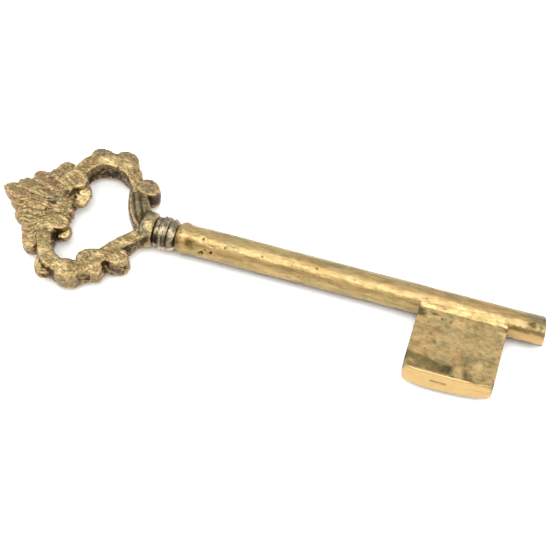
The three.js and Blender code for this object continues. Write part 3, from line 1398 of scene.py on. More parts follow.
    # Painted highlights along the lit rims and on the foot, and painted reflections of the floor on walls
    # and under the foot.
    rubbed_and_highlit: Dimples = rows_of(
        (-77.4, -3.0, -0.8, 1.3, 0.9), (-77.5, -0.9, 3.0, 0.9, 0.7), (-92.2, 3.6, 1.2, 2.6, 0.8),
        (-92.6, -6.4, 0.6, 1.2, 0.8), (-91.5, 11.4, 2.3, 1.4, 0.5), (-89.0, 12.2, 2.3, 1.4, 0.5),
        (-86.6, 11.8, 2.3, 1.4, 0.5), (-84.2, 8.0, 1.8, 1.4, 0.4), (-90.0, -14.2, 2.2, 2.2, 0.4),
        (-94.6, -12.0, 2.2, 1.4, 0.4), (-80.6, -9.4, 2.2, 1.6, 0.4), (-81.6, -6.4, 2.2, 1.4, 0.3),
    )
    recesses: Dimples = rows_of(
        (-93.4, 9.2, -0.6, 1.1, 0.9), (-91.0, 11.0, 0.0, 0.9, 0.7), (-88.4, 11.8, -0.3, 1.0, 0.9),
        (-86.6, 11.0, 0.3, 0.6, 0.5), (-94.9, 3.0, 0.6, 1.3, 0.9), (-94.2, -6.9, 0.8, 0.9, 0.5),
        (-80.2, -6.3, 1.0, 1.0, 0.8), (-83.1, -11.0, 1.2, 0.9, 0.9), (-86.7, -13.0, 1.2, 0.8, 0.7),
        (-91.6, -14.6, 1.0, 0.7, 0.8), (-96.2, -11.2, 1.6, 0.7, 0.6), (-90.2, 13.6, 1.6, 0.8, 0.5),
        (-95.9, 8.6, 1.6, 0.7, 0.5), (-97.0, 0.9, 2.2, 0.7, 0.4), (-97.2, -0.9, 2.2, 0.7, 0.45),
        (-97.6, -2.8, 2.2, 0.7, 0.45), (-98.2, -4.9, 2.2, 0.7, 0.4), (-82.3, 9.9, 1.4, 0.6, 0.5),
    )

    def shells(self) -> Skin:
        """Gathers the overlapping shells that make up the bow.

        Returns:
            The bar, the lumps, the leaves, the arm's strands, the neck foot and the tenon in one skin.
        """
        route = smooth_route(np.array(self.route), 260)
        places = np.column_stack([route[:, :2], np.zeros(len(route))])
        skins = [flat_bar(places, route[:, 2], route[:, 3])]
        skins += [shape.skin(self.half_height) for shape in [*self.lumps, *self.leaves]]
        skins += [self.strand(offset, size) for offset, size in self.strands]
        skins += [self.foot(), self.tenon()]
        return Skin.joined(skins)

    def strand(self, offset: float, size: float) -> Skin:
        """One rib of the spindle-shaped upper arm.

        Its middle line leaves the arm's own line by offset times sin(pi s) to the power 0.7, and it
        thins to both ends as the same sine.

        Args:
            offset: Sideways distance at the spindle's middle, in millimetres.
            size: Thickness against the middle rib.

        Returns:
            The closed rib.
        """
        share = np.linspace(0, 1, 40)
        swell = np.sin(np.pi * np.clip(share, 0.02, 0.98)) ** 0.7
        line = smooth_route(np.array(self.arm), len(share))
        plan = line + (offset * swell)[:, None] * np.array(self.arm_side)
        places = np.column_stack([plan, np.zeros(len(plan))])
        return flat_bar(places, size * (0.35 + 0.6 * swell), 1.35 + 0.85 * size * swell, box=0.8)

    def foot(self) -> Skin:
        """The first band of the neck, a little lower than wide.

        Its outline goes along by cos t and out by the square root of sin t, which is a squarish arch.

        Returns:
            The closed band.
        """
        turn = np.linspace(0, np.pi, 13)
        along = self.foot_at - self.foot_half * np.cos(turn)
        skin = turned(np.column_stack([along, self.foot_core + self.foot_swell * np.sin(turn) ** 0.5]), 48)
        skin.points[:, 2] *= self.foot_squash
        return skin

    def tenon(self) -> Skin:
        """The round peg that the beads and the stem are threaded on."""
        return turned(run_of([(x, self.tenon_radius) for x in self.tenon_ends], 0.5), 32)

    def displaced(self, points: Floats, normals: Floats) -> Floats:
        """Facets, casting lumps, chased lines on the crest and recesses, all along the normals.

        The lines fan out from the crest's root: the absolute sine of a multiple of the angle about that
        root, to a power. The facets and the lumps come in two sizes each, and are calmer on the arm.
        What rises near the top and bottom is held back to a fifth.

        Args:
            points: Points in millimetres.
            normals: Their normals.

        Returns:
            The moved points.
        """
        away = points[:, :2] - np.array(self.crest_root)
        angle = np.arctan2(away[:, 1], -away[:, 0])
        wobble = noise(points, 2.2, 31) * 0.06 + noise(points, 0.9, 33) * 0.015
        lines = np.abs(np.sin((angle + wobble) * self.crest_lines)) ** 0.7
        on_crest = smoothstep(-94.6, -98.0, points[:, 0]) * smoothstep(-0.8, 0.3, noise(points, 1.9, 35))
        upward = smoothstep(0.15, 0.7, np.abs(normals[:, 2]))
        height = on_crest * (0.35 + 0.65 * upward) * self.line_height * (lines - 0.72)
        bow_side = smoothstep(-77.2, -79.0, points[:, 0]) * (1 - painted(points, self.calm, 0.6))
        cast = bow_side * (1 - 0.6 * on_crest) * (1 - 0.45 * upward)
        for size, seed, tall, sharp in ((2.1, 5, 0.22, 0.05), (0.9, 15, 0.08, 0.02)):
            facet, crease = facets(points, size, seed)
            height += cast * (tall * facet + sharp * (crease - 0.7))
        height += bow_side * (0.07 * rough(points, 1.3, 2, 9) + 0.08 * rough(points, 0.6, 2, 11))
        height -= 0.5 * dimpled(warped(points, 0.7, 1.3, 83), self.recesses)
        limit = smoothstep(1.8, 3.2, np.abs(points[:, 2]))
        return points + normals * (height - limit * np.clip(height, 0, None) * 0.8)[:, None]

    def build(self, measure: Measure) -> bpy.types.Object:
        """Fuses the shells, adds the cast surface and marks hollows, staining and painted light and shade.

        Args:
            measure: Where the key lies.

        Returns:
            The finished bow.
        """
        piece = fused(new_piece("bow_cast", self.shells(), measure), self.voxel)
        mesh = piece.data
        largest_shell(mesh)
        points = measure.unplace(averaged(points_of(mesh), edges_of(mesh), 1))
        move_points(mesh, measure.place(points))
        points = self.displaced(points, normals_of(mesh))
        move_points(mesh, measure.place(points))
        self.mark(mesh, points)
        return piece

    def mark(self, mesh: bpy.types.Mesh, points: Floats) -> None:
        """Marks the hollows, painted shade on the upright walls and towards the bottom, painted highlights
        on the tops and rims, painted reflections on some walls, and the stained, coppery and green places.

        Args:
            mesh: The finished mesh.
            points: Its points in millimetres.
        """
        # Hollow depth, which the finish paints as tarnished metal and painted shade.
        hollow = hollow_depth(mesh, 4) * 5.5 + hollow_depth(mesh, 40) * 1.5
        wall = 1 - smoothstep(0.25, 0.7, np.abs(normals_of(mesh)[:, 2]))
        ragged = warped(points, 0.8, 1.4, 87)
        # Painted shade: upright walls darker than the tops and the lower half darker towards the bottom,
        # with soot noise and the listed dark spots.
        soot_and_shade = wall * (0.3 + 0.3 * smoothstep(-0.5, 0.5, noise(points, 1.8, 89)))
        soot_and_shade += 0.2 * smoothstep(0.0, -2.0, points[:, 2]) + painted(ragged, self.dark_spots, 0.3)
        copper = 0.4 * wall * smoothstep(-0.1, 0.6, noise(points, 3.0, 63))
        # Painted highlight: the tops lighter than the walls, with wear.
        rubbed_and_highlit = 0.45 * (1 - wall) * smoothstep(0.0, 0.7, noise(points, 0.8, 99))
        set_marks(
            mesh,
            {
                Mark.HOLLOW: hollow,
                Mark.SOOT_AND_SHADE: np.clip(soot_and_shade, 0, 1.1),
                Mark.COPPER: np.clip(copper + painted(ragged, self.copper, 0.2), 0, 1),
                Mark.PATINA: np.clip(painted(ragged, self.patina, 0.45), 0, 1),
                Mark.RUBBED_AND_HIGHLIT: np.clip(rubbed_and_highlit + painted(ragged, self.rubbed_and_highlit, 0.4), 0, 1),
            },
        )


@dataclass
class NeckBead:
    """One of the two rings threaded on the tenon.

    Attributes:
        name: Piece name.
        node: CAD node that it stands for.
        outline: x and radius along its outside, from the bow side to the stem side.
        bore: Radius of its hole.
        seed: Picks its unevenness.
    """

    name: str
    node: str
    outline: tuple[Point2, ...]
    bore: float = 1.65
    seed: int = 1

    def build(self, measure: Measure) -> bpy.types.Object:
        """Carries a closed section round the tenon and makes it uneven.

        The section follows the outline as a smooth curve and comes back straight along the bore.

        Args:
            measure: Where the key lies.

        Returns:
            The finished ring.
        """
        crown = smooth_route(np.array(self.outline), 48)
        first, last = self.outline[0], self.outline[-1]
        inner = run_of([last, (last[0], self.bore), (first[0], self.bore), first], 0.2)
        section = np.concatenate([crown[:-1], inner[:-1]])
        around = np.linspace(0, 2 * np.pi, 170, endpoint=False)
        flat = 1 - 0.1 * smoothstep(self.bore, self.bore + 0.6, section[:, 1])
        x = np.repeat(section[None, :, 0], len(around), axis=0)
        y = section[None, :, 1] * np.cos(around)[:, None]
        z = section[None, :, 1] * flat * np.sin(around)[:, None]
        skin = loft(np.stack([x, y, z], axis=-1), capped=False)
        radius = np.hypot(skin.points[:, 1], skin.points[:, 2])
        outside = smoothstep(self.bore + 0.2, self.bore + 0.9, radius)
        facet, crease = facets(skin.points, 1.3, self.seed)
        uneven = 0.1 * facet + 0.05 * (crease - 0.7) + 0.1 * rough(skin.points, 0.7, 2, self.seed)
        away = skin.points * np.array([0, 1, 1])
        away /= np.linalg.norm(away, axis=1, keepdims=True)
        skin.points += away * (uneven * outside)[:, None]
        piece = new_piece(self.name, skin, measure)
        self.mark(piece.data, skin.points)
        return piece

    def mark(self, mesh: bpy.types.Mesh, points: Floats) -> None:
        """Marks sooty grooves and patches, painted shade on the side towards the bit, and a painted
        reflection of the floor on the underside with painted glints.

        Args:
            mesh: The finished mesh.
            points: Its points in millimetres.
        """
        crown = max(radius for _, radius in self.outline)
        radius = np.hypot(points[:, 1], points[:, 2] / 0.9)
        low = 1 - smoothstep(crown - 0.7, crown - 0.1, radius)
        patch = smoothstep(-0.2, 0.5, noise(points, 1.5, self.seed + 40))
        turn = turn_of(points)
        # Painted shade on the side towards the bit, and on the underside a painted reflection of the bright
        # floor that clears the other marks.
        near_side = window(turn, (-3, 8), (34, 52))
        clear = 1 - window(turn, (-60, -45), (-8, 2))
        soot_and_shade = 0.35 * low + 0.35 * patch + (0.4 + 0.6 * low) * near_side
        # Painted glints of light.
        glints = smoothstep(0.25, 0.7, noise(points, 0.7, self.seed + 50))
        # Hollows darken more on the side towards the bit, as painted shade.
        set_marks(
            mesh,
            {
                Mark.HOLLOW: hollow_depth(mesh, 4) * (2 + 4 * near_side),
                Mark.SOOT_AND_SHADE: np.clip(soot_and_shade, 0, 1.1) * clear,
                Mark.PATINA: (0.3 + 0.35 * patch) * clear,
                Mark.RUBBED_AND_HIGHLIT: 0.9 * (1 - clear) + 0.45 * glints,
            },
        )


# x and radius along each ring's outside, from the bow side to the stem side.
WIDE_RING = (
    (-76.04, 2.8), (-75.8, 2.93), (-75.4, 2.95), (-75.1, 3.1), (-74.75, 3.4), (-74.4, 3.42),
    (-74.15, 3.24), (-73.9, 3.38), (-73.6, 3.28), (-73.38, 3.05),
)
NARROW_RING = (
    (-73.27, 3.05), (-73.05, 3.2), (-72.7, 3.26), (-72.4, 3.12), (-72.1, 2.95), (-71.85, 2.75),
    (-71.65, 2.5),
)


@dataclass
class Stem:
    """The round stem, with its socket, shoulder, slow taper and casting pits.

    Attributes:
        start: x of the neck end.
        radius: Radius past the shoulder.
        pin_radius: Radius at the pin end.
        shoulder: Radius of the swelling.
        shoulder_at: x of the swelling.
        rim: Radius at the neck end.
        bore: Radius of the socket for the bow's tenon.
        socket_end: x of the bottom of the socket.
        pin_round: Radius that rounds the pin end's edge.
        lean: Slope of the pin end's cut: x gained for each millimetre towards the bit side.
        pits: Casting pits near the neck: x, angle up from the bit side in degrees, radius and depth.
        dark_spots: Brown places.
    """

    start: float = -71.55
    radius: float = 2.95
    pin_radius: float = 2.78
    shoulder: float = 3.2
    shoulder_at: float = -70.3
    rim: float = 2.5
    bore: float = 1.65
    socket_end: float = -64.5
    pin_round: float = 0.28
    lean: float = 0.13
    pits: tuple[Row4, ...] = (
        (-66.0, 73, 0.32, 0.26), (-67.2, 88, 0.18, 0.12), (-70.6, 74, 0.2, 0.16),
        (-65.9, 17, 0.42, 0.4), (-66.5, 13, 0.26, 0.2), (-65.3, 33, 0.24, 0.22),
        (-64.1, 27, 0.38, 0.36), (-63.3, 20, 0.2, 0.2), (-64.0, 52, 0.17, 0.14),
        (-63.5, 46, 0.14, 0.12), (-65.2, 62, 0.13, 0.1), (-61.4, 66, 0.18, 0.15),
        (-60.0, 72, 0.16, 0.12), (-58.0, 30, 0.16, 0.15), (-54.2, 62, 0.2, 0.16),
        (-52.0, 40, 0.15, 0.14), (-46.5, 24, 0.2, 0.18), (-43.0, 50, 0.14, 0.12),
        (-22.0, 60, 0.16, 0.12),
    )

    dark_spots: Dimples = rows_of(
        (-69.1, -1.4, 2.6, 1.8, 0.5), (-68.8, -2.4, 1.6, 1.9, 0.55), (-67.8, -2.0, 2.1, 1.2, 0.3),
        (-70.9, -0.4, 3.1, 0.6, 0.8), (-2.5, -0.9, 2.6, 1.2, 1.0), (-1.0, -1.2, 2.5, 0.9, 0.9),
        (-1.6, 0.8, 2.6, 1.6, 0.45), (-0.4, 0.6, 2.6, 0.8, 0.5), (-24.0, -2.4, 1.6, 1.0, 0.5),
        (-45.0, -0.6, 2.9, 2.2, 0.3), (-30.0, -2.2, 1.8, 2.0, 0.35),
    )

    def profile(self) -> Floats:
        """Draws the stem's outline, with a smooth rise to the shoulder, a fall after it and a slow taper.

        Returns:
            Rows of x and radius, from the bottom of the socket round to the middle of the pin end.
        """
        bore, rim, soft = self.bore, self.rim, self.pin_round
        socket = run_of([(self.socket_end, 0.3), (self.socket_end, bore), (self.start, bore)], 0.3)
        socket = np.concatenate([socket[:-1], run_of([(self.start, bore), (self.start, rim)], 0.3)])
        x = np.concatenate([np.arange(self.start, -66.0, 0.12), np.arange(-66.0, -soft, 0.18)])
        rise = smoothstep(self.start - 0.4, self.shoulder_at, x)
        fall = smoothstep(self.shoulder_at, self.shoulder_at + 1.5, x)
        swell = rim + (self.shoulder - rim) * rise + (self.radius - 0.04 - self.shoulder) * fall
        swell += 0.04 * smoothstep(self.shoulder_at + 1.5, self.shoulder_at + 4.0, x)
        taper = (self.pin_radius - self.radius) * smoothstep(-64, 0, x)
        body = np.column_stack([x, swell + taper])
        corner = np.linspace(0, np.pi / 2, 5)
        core = self.pin_radius - soft
        round_off = np.column_stack([soft * np.sin(corner) - soft, core + soft * np.cos(corner)])
        end = run_of([(0.0, core), (0.0, 0.25)], 0.25)
        return np.concatenate([socket[:-1], body, round_off, end[1:]])

    def build(self, measure: Measure) -> bpy.types.Object:
        """Turns the outline and adds undulation, pits and the leaning cut.

        Args:
            measure: Where the key lies.

        Returns:
            The finished stem.
        """
        skin = turned(self.profile(), 132)
        points = skin.points
        radius = np.hypot(points[:, 1], points[:, 2])
        outside = smoothstep(1.9, 2.4, radius) * (1 - smoothstep(-0.6, -0.1, points[:, 0]))
        away = points * np.array([0, 1, 1]) / np.maximum(radius, 1e-6)[:, None]
        height = 0.05 * rough(drawn_out(points, 0.35), 2.4, 2, 71) + 0.03 * rough(points, 0.9, 2, 73)
        near_neck = 1 - smoothstep(-69.0, -60.0, points[:, 0])
        height += near_neck * 0.05 * rough(points, 0.8, 2, 77)
        height -= dimpled(points, self.dents())
        points += away * (height * outside)[:, None]
        points[:, 0] -= self.lean * points[:, 1] * smoothstep(-3.0, 0.0, points[:, 0])
        piece = new_piece("stem_rod", skin, measure)
        self.mark(piece.data, points)
        return piece

    def dents(self) -> Dimples:
        """Lays the casting pits on the stem's skin, each at its angle about the axis.

        Returns:
            The pits as dimples.
        """
        made = []
        for x, angle, radius, depth in self.pits:
            turn = math.radians(angle)
            at = (x, -self.radius * math.cos(turn), self.radius * math.sin(turn))
            made.append(Dimple(at, radius, depth))
        return tuple(made)

    def mark(self, mesh: bpy.types.Mesh, points: Floats) -> None:
        """Marks the pits, the sooty shoulder, painted shade on the underside, and the dull pin end with a
        painted reflection of the floor on its lower flank.

        Args:
            mesh: The finished mesh.
            points: Its points in millimetres.
        """
        x = points[:, 0]
        ragged = warped(points, 0.7, 1.1, 87)
        turn = turn_of(ragged)
        flank = smoothstep(2.2, 2.6, np.hypot(points[:, 1], points[:, 2]))
        tip = smoothstep(-7.0, -5.6, ragged[:, 0])
        # Painted reflection of the bright floor on the pin end's lower flank: pale and coppery, with the
        # dull patina cleared.
        below = flank * window(turn, (-12, -2), (26, 36))
        band = tip * flank * window(turn, (30, 39), (49, 57))
        groove = 1 - smoothstep(self.start, self.start + 0.7, x)
        streaks = smoothstep(0.2, 0.8, noise(drawn_out(points, 0.3), 2.0, 91))
        # Painted shade: the underside darker towards the bottom.
        soot_and_shade = groove + 0.6 * band + flank * smoothstep(0.3, -1.6, points[:, 2]) + 0.22 * streaks
        pit = np.clip(dimpled(points, self.dents()) * 4, 0, 0.85)
        far_side = smoothstep(100, 130, turn) * smoothstep(-0.3, 0.5, noise(points, 4.0, 95))
        # Hollows and pits darken as dirt and painted shade.
        set_marks(
            mesh,
            {
                Mark.HOLLOW: np.clip(hollow_depth(mesh, 6) * 6, -0.6, 1) + pit,
                Mark.SOOT_AND_SHADE: np.clip(soot_and_shade + painted(ragged, self.dark_spots, 0.3), 0, 1),
                Mark.COPPER: 0.15 * smoothstep(0.1, 0.8, noise(points, 3.0, 93)) + 0.4 * tip * below,
                Mark.PATINA: 0.8 * smoothstep(-5.5, -2.0, x) * (1 - below) + 0.4 * far_side,
                Mark.RUBBED_AND_HIGHLIT: 0.7 * tip * below,
            },
        )


@dataclass
class Flag:
    """The uncut bit: a flat flag that flares into the stem at its root.

    Attributes:
        low_x: Bow side.
        high_x: Pin side.
        reach: Distance from the axis to the free edge, on the lower face.
        slope: How much further the lower edge reaches than the upper one.
        half: Half thickness of the flag.
        rib: Extra half thickness of the root rib.
        rib_reach: Distance from the axis where the rib ends.
        corners: Corner radii at the free edge, on the bow side and on the pin side.
        bevel: Radius that rounds every edge.
        root: Distance from the axis where the flag starts, inside the stem.
        stem_radius: Radius of the stem between the flag's two sides.
        fillet: Height difference over which the stem's side runs into the flag.
        edge_middle: x where the free edge stands out most.
        edge_bow: How fast the edge draws in: millimetres for each square millimetre along it.
        upper_share: Share of that on the upper side.
        dents: Small dents on the upper face.
        clouds: Brown clouds on the upper face.
        rubbed_and_highlit: Pale patches painted as highlights on the upper face.
    """

    low_x: float = -23.2
    high_x: float = -6.5
    reach: float = 16.9
    slope: float = 1.2
    half: float = 1.75
    rib: float = 0.12
    rib_reach: float = 4.5
    corners: tuple[float, float] = (1.5, 0.8)
    bevel: float = 0.22
    root: float = 1.3
    stem_radius: float = 2.76
    fillet: float = 1.0
    edge_middle: float = -17.0
    edge_bow: float = 0.0095
    upper_share: float = 0.4
    dents: Dimples = rows_of(
        (-22.0, -5.9, 1.75, 0.3, 0.05), (-18.6, -9.0, 1.75, 0.5, 0.08), (-13.0, -11.2, 1.75, 0.5, 0.08),
        (-17.0, -4.2, 1.75, 0.5, 0.1),
    )
    clouds: Dimples = rows_of(
        (-12.3, -6.0, 1.75, 3.2, 0.6), (-18.8, -6.6, 1.75, 1.9, 0.5), (-18.9, -8.8, 1.75, 1.1, 0.7),
        (-13.2, -10.8, 1.75, 0.9, 0.7), (-9.0, -8.4, 1.75, 2.0, 0.35), (-22.9, -3.2, 1.75, 1.3, 0.7),
        (-22.0, -5.7, 1.75, 0.5, 0.9), (-15.0, -13.5, 1.75, 2.2, 0.25), (-12.1, -13.9, 1.75, 1.1, 0.45),
        (-8.6, -13.9, 1.75, 1.1, 0.45), (-16.9, -4.2, 1.75, 1.0, 0.6),
    )
    # Painted highlights: pale dapples on the upper face.
    rubbed_and_highlit: Dimples = rows_of(
        (-10.2, -12.6, 1.75, 1.2, 0.8), (-8.4, -11.0, 1.75, 0.8, 0.7), (-20.6, -10.2, 1.75, 1.6, 0.5),
        (-14.5, -8.0, 1.75, 1.4, 0.4),
    )

    def section(self) -> tuple[Floats, Floats]:
        """The loop round the flag seen from its end.

        The free edge's points are spaced by a sine, so that they crowd at its two corners.

        Returns:
            How far out each point is, from 0 at the root to 1 at the free edge, and its side: 1 on
            the upper face, -1 on the lower, in between on the free edge and inside the stem.
        """
        faces, end, root = 110, 29, 10
        outward, inward = np.linspace(0, 1, faces)[:-1], np.linspace(1, 0, faces)[1:]
        out = np.concatenate([outward, np.ones(end), inward, np.zeros(root - 2)])
        across = np.sin(np.linspace(np.pi / 2, -np.pi / 2, end))
        side = np.concatenate(
            [np.ones(faces - 1), across, -np.ones(faces - 1), np.linspace(-1, 1, root)[1:-1]]
        )
        return out, side

    def build(self, measure: Measure) -> bpy.types.Object:
        """Lofts the section from the bow side to the pin side.

        The free edge slopes outward towards the lower face. It is pulled in near both sides by the
        corner circles and near both faces by the small circle that rounds every edge.

        Args:
            measure: Where the key lies.

        Returns:
            The finished bit.
        """
        out, side = self.section()
        turn = np.linspace(0, np.pi / 2, 7)
        inset = self.bevel * (1 - np.sin(turn))
        from_edge = self.bevel * (1 - np.cos(turn))
        middle = np.linspace(self.low_x + self.bevel, self.high_x - self.bevel, 110)[1:-1]
        x = np.concatenate([self.low_x + from_edge, middle, (self.high_x - from_edge)[::-1]])
        thin = np.concatenate([inset, np.zeros(len(middle)), inset[::-1]])
        over = np.clip(np.abs(side) * self.half - (self.half - self.bevel), 0, self.bevel)
        soft = self.bevel - np.sqrt(self.bevel**2 - over**2)
        end = self.reach - self.slope * (side + 1) / 2 - soft
        length = end[None, :] - (self.corner_pull(x) + thin)[:, None] - self.root
        y = -(self.root + out[None, :] * length)
        half = self.thickness(-y) - thin[:, None]
        z = side[None, :] * half
        points = np.stack([np.repeat(x[:, None], len(out), axis=1), y, z], axis=-1)
        skin = self.with_end_faces(points)
        self.uneven(skin)
        piece = new_piece("bit_flag", skin, measure)
        self.mark(piece.data, skin.points)
        return piece

    def corner_pull(self, x: Floats) -> Floats:
        """How far the free edge is pulled in by the two corner circles.

        Args:
            x: Places along the stem.

        Returns:
            The pull at each place.
        """
        pull = np.zeros_like(x)
        for radius, edge in zip(self.corners, (self.low_x, self.high_x)):
            gap = np.clip(radius - np.abs(x - edge), 0, radius)
            pull += radius - np.sqrt(radius**2 - gap**2)
        return pull

    def thickness(self, out: Floats) -> Floats:
        """Half thickness: the larger of the flag and the stem's round side, with a soft corner between.

        The corner adds k (1 - |difference| / k)^2 / 4 where the two differ by less than k.

        Args:
            out: Distance from the axis.

        Returns:
            The half thickness there.
        """
        rib = self.rib * (1 - smoothstep(self.rib_reach - 1.2, self.rib_reach + 0.4, out))
        flat = self.half + rib
        rod = np.sqrt(np.clip(self.stem_radius**2 - out**2, 0, None)) - 0.04
        near = np.clip(1 - np.abs(rod - flat) / self.fillet, 0, None)
        return np.maximum(rod, flat) + self.fillet * near**2 / 4

    def with_end_faces(self, points: Floats) -> Skin:
        """Adds rings that shrink towards the middle of both side faces, and closes them.

        Args:
            points: The lofted rings.

        Returns:
            The closed skin.
        """
        shares = (0.72, 0.45, 0.2)
        rings = []
        for ring in (points[0], points[-1]):
            middle = ring.mean(axis=0)
            rings.append([middle + (ring - middle) * np.array([1, (1 + k) / 2, k]) for k in shares])
        return loft(np.concatenate([rings[0][::-1], points, rings[1]]))

    def uneven(self, skin: Skin) -> None:
        """Adds the file's waviness to both faces and the free edge, with the dents and the nick.

        The free edge also draws in towards its two ends, by a parabola about its middle that is weaker
        on the upper side.

        Args:
            skin: The flag's skin, changed in place.
        """
        points = skin.points
        flat = smoothstep(0.6, 1.2, np.abs(points[:, 2]))
        points[:, 2] += np.sign(points[:, 2]) * flat * (
            0.09 * rough(points, 3.0, 3, 51)
            + 0.025 * rough(points, 0.9, 2, 53)
            - dimpled(points, self.dents)
        )
        edge = smoothstep(self.reach - 2.6, self.reach - 1.4, -points[:, 1])
        points[:, 1] += edge * (0.12 * rough(points, 2.0, 3, 57) + 0.35 * dimpled(points, self.nick()))
        pull = self.edge_bow * (points[:, 0] - self.edge_middle) ** 2
        points[:, 1] += edge * pull * np.where(points[:, 2] > 0, self.upper_share, 1.0)
        side = 1 - smoothstep(0.0, 0.8, self.from_side(points))
        side *= smoothstep(0.4, 1.4, np.abs(points[:, 2]))
        points[:, 0] += side * 0.06 * rough(points, 2.5, 2, 59)

    def from_side(self, points: Floats) -> Floats:
        """Distance from the nearer of the bit's two sides."""
        return np.minimum(points[:, 0] - self.low_x, self.high_x - points[:, 0])

    def nick(self) -> Dimples:
        """The long nick on the ground free edge, as a zigzag row of dimples."""
        return tuple(Dimple((-17.6 + 0.55 * k, -16.2, 0.1 * (k % 2)), 0.3, 0.36) for k in range(6))

    def mark(self, mesh: bpy.types.Mesh, points: Floats) -> None:
        """Marks the olive band, clouds, painted highlight dapples, the ground edge, the nick, the root seam
        and painted shade along the lower edge.

        Args:
            mesh: The finished mesh.
            points: Its points in millimetres.
        """
        out = -points[:, 1]
        ragged = warped(points, 1.2, 2.4, 67)
        fade = smoothstep(-0.35, 0.45, rough(drawn_out(points, 0.6), 2.4, 2, 61))
        band = smoothstep(11.0, 12.6, -ragged[:, 1]) * (1 - smoothstep(15.0, 15.7, out)) * fade
        edge_band = smoothstep(13.2, 14.2, -ragged[:, 1]) * smoothstep(-0.3, 0.4, noise(points, 1.6, 68))
        cloudy = smoothstep(0.0, 0.7, rough(drawn_out(points, 0.7), 2.2, 3, 69))
        streak = smoothstep(-0.1, 0.6, rough(drawn_out(points, 0.3), 0.8, 2, 73))
        streak *= 1 - smoothstep(3.8, 4.2, out)
        from_root = np.abs(out - 3.9 - 0.25 * noise(points, 2.0, 65))
        ground = smoothstep(15.3, 15.6, out + 0.3 * (points[:, 2] < 0))
        soot_and_shade = np.maximum(0.75 * band, 0.6 * edge_band) + 0.6 * fade * smoothstep(0.75, 0.2, from_root)
        soot_and_shade = (soot_and_shade + 0.3 * cloudy + 0.5 * streak) * (1 - ground) + painted(ragged, self.clouds, 0.1)
        soot_and_shade += 0.25 * (1 - smoothstep(0.0, 0.5, self.from_side(points)))
        # Painted shade: a dark line along the lower edge of the free end.
        soot_and_shade += 0.5 * smoothstep(-1.35, -1.7, points[:, 2]) * smoothstep(15.0, 16.0, out)
        # Painted highlights: pale dapples on the upper face.
        dapples = painted(ragged, self.rubbed_and_highlit, 0.1) + 0.6 * smoothstep(0.15, 0.6, rough(points, 1.6, 2, 71))
        dents = np.clip(dimpled(points, self.dents) * 3, 0, 1)
        nick = np.clip(dimpled(points, self.nick()) * 2.2, 0, 0.95)
        off_middle = smoothstep(0.6, 1.2, np.abs(points[:, 2]))
        ends = smoothstep(4.5, 8.0, np.abs(points[:, 0] + 15.0))
        # Hollows, dents and the nick darken as dirt and painted shade.
        set_marks(
            mesh,
            {
                Mark.HOLLOW: np.clip(hollow_depth(mesh, 6) * 5, -0.6, 0.6) * off_middle + dents + nick,
                Mark.SOOT_AND_SHADE: np.clip(soot_and_shade, 0, 1),
                Mark.COPPER: ground * (0.2 + 0.5 * ends),
                Mark.PATINA: 0.45 * (1 - ground) * smoothstep(4.2, 6.5, out) * cloudy,
                Mark.RUBBED_AND_HIGHLIT: ground + (1 - ground) * np.clip(dapples, 0, 1),
            },
        )


# ---------------------------------------------------------------------------------------------
# Stage: floor, light and camera
# ---------------------------------------------------------------------------------------------


@dataclass(frozen=True)
class Softbox:
    """A square soft light that points at the key.

    Attributes:
        name: Light name.
        place: Where it hangs, in metres.
        side: Side of the square, in metres.
        radiance: Brightness of its face. Its power is pi times the area times this.
    """

    name: str
    place: Point3
    side: float
    radiance: float

    def hang(self) -> None:
        """Adds the light. The camera doesn't see it."""
        light = bpy.data.lights.new(self.name, "AREA")
        light.shape = "SQUARE"
        light.size = self.side
        light.energy = math.pi * self.side**2 * self.radiance
        lamp = bpy.data.objects.new(self.name, light)
        lamp.location = self.place
        lamp.rotation_euler = Vector(self.place).to_track_quat("Z", "Y").to_euler()
        lamp.visible_camera = False
        bpy.context.scene.collection.objects.link(lamp)


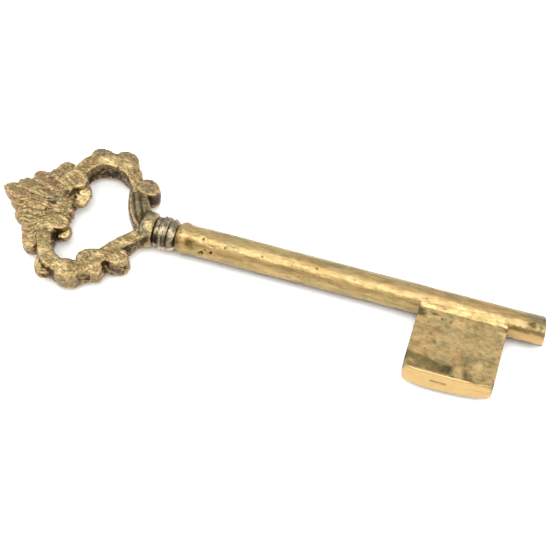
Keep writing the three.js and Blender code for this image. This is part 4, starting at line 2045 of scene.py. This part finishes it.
@dataclass
class Stage:
    """Plain pale floor, soft light and the camera.

    Attributes:
        floor_half: Half side of the floor, in metres.
        floor_colour: Colour of the floor.
        near_horizon: Colour of the room's lower part on the bit's side.
        far_horizon: Colour of the room's lower part on the other side.
        ceiling: Colour of the room overhead.
        softboxes: The lights.
        elevation: Camera height angle, in degrees.
        turn: Camera turn about the vertical from looking along +Y, in degrees.
        distance: Camera distance from the point it looks at, in metres.
        lens: Focal length for a 36 mm wide sensor.
        look_at: Point that the camera looks at, in the key's own millimetres.
    """

    floor_half: float = 4.0
    floor_colour: Colour = (0.93, 0.93, 0.935)
    near_horizon: Colour = (1.0, 0.9, 0.71)
    far_horizon: Colour = (1.04, 1.07, 1.12)
    ceiling: Colour = (1.32, 1.32, 1.32)
    softboxes: tuple[Softbox, ...] = (
        Softbox("overhead_softbox", (0.0, -0.17, 0.62), 0.46, 3.5),
        Softbox("left_softbox", (-0.6, 0.0, 0.45), 0.35, 5.5),
        Softbox("right_softbox", (0.6, 0.0, 0.45), 0.35, 5.5),
    )
    elevation: float = 57.0
    turn: float = 17.35
    distance: float = 0.25577
    lens: float = 87.05
    look_at: Point3 = (-51.7, -1.05, -2.95)

    def build(self, measure: Measure) -> None:
        """Builds the floor, the surroundings, the lights and the camera.

        Args:
            measure: Where the key lies.
        """
        self.floor()
        self.surroundings()
        for softbox in self.softboxes:
            softbox.hang()
        self.camera(measure)
        bpy.context.scene.view_settings.view_transform = "Standard"

    def floor(self) -> None:
        """A plain white sheet under the key, as a square grid."""
        steps = np.linspace(-self.floor_half, self.floor_half, 9)
        x, y = np.meshgrid(steps, steps)
        points = np.stack([x.ravel(), y.ravel(), np.zeros(x.size)], axis=1)
        here = np.arange(x.size).reshape(x.shape)
        quads = np.stack([here[:-1, :-1], here[:-1, 1:], here[1:, 1:], here[1:, :-1]], axis=-1)
        skin = Skin(points, quads.reshape(-1, 4), np.zeros((0, 3), np.int64))
        sheet = new_piece("floor", skin, None)
        material = bpy.data.materials.new("white_table")
        material.use_nodes = True
        shader = material.node_tree.nodes["Principled BSDF"]
        shader.inputs["Base Color"].default_value = (*self.floor_colour, 1.0)
        shader.inputs["Roughness"].default_value = 0.7
        sheet.data.materials.append(material)

    def surroundings(self) -> None:
        """A room that is pale overhead and dimmer and warmer towards the horizon on the bit's side."""
        world = bpy.data.worlds.new("studio")
        world.use_nodes = True
        link = Link(world.node_tree)
        shade = world.node_tree.nodes["Background"]
        parts = link.node("SeparateXYZ")
        link.feed(parts.inputs[0], link.node("TexCoord").outputs["Generated"])
        up = link.between(parts.outputs["Z"], 0.2, 0.95)
        away = link.between(parts.outputs["Y"], -0.9, 0.9)
        horizon = link.blend(away, self.near_horizon, self.far_horizon)
        link.feed(shade.inputs["Color"], link.blend(up, horizon, self.ceiling))
        bpy.context.scene.world = world

    def camera(self, measure: Measure) -> None:
        """The camera, looking down at the key from the bit's side.

        Args:
            measure: Where the key lies.
        """
        data = bpy.data.cameras.new("camera")
        data.lens = self.lens
        data.sensor_width = 36.0
        eye = bpy.data.objects.new("camera", data)
        rise, turn = math.radians(self.elevation), math.radians(self.turn)
        level, drop = math.cos(rise), -math.sin(rise)
        ahead = np.array([-math.sin(turn) * level, math.cos(turn) * level, drop])
        eye.location = measure.place(np.array(self.look_at)) - ahead * self.distance
        eye.rotation_euler = (math.pi / 2 - rise, 0.0, turn)
        bpy.context.scene.collection.objects.link(eye)
        bpy.context.scene.camera = eye


def main() -> None:
    """Builds the key's pieces around the frame, then the stage."""
    logging.basicConfig(level=logging.INFO, format="%(name)s: %(message)s")
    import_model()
    measure = Measure.from_frame()
    groups = Groups()
    Stage().build(measure)
    cast, neck, worn, filed = (finish.build(groups) for finish in (CAST, NECK, STEM, FLAG))
    finish_piece(Bow().build(measure), cast, ["bow"])
    wide = NeckBead("neck_ring_wide", "neck_bead_wide", WIDE_RING, seed=3)
    narrow = NeckBead("neck_ring_narrow", "neck_bead_narrow", NARROW_RING, seed=8)
    for ring in (wide, narrow):
        finish_piece(ring.build(measure), neck, [ring.node])
    finish_piece(Stem().build(measure), worn, ["stem"])
    finish_piece(Flag().build(measure), filed, ["bit"])


if __name__ == "__main__":
    main()
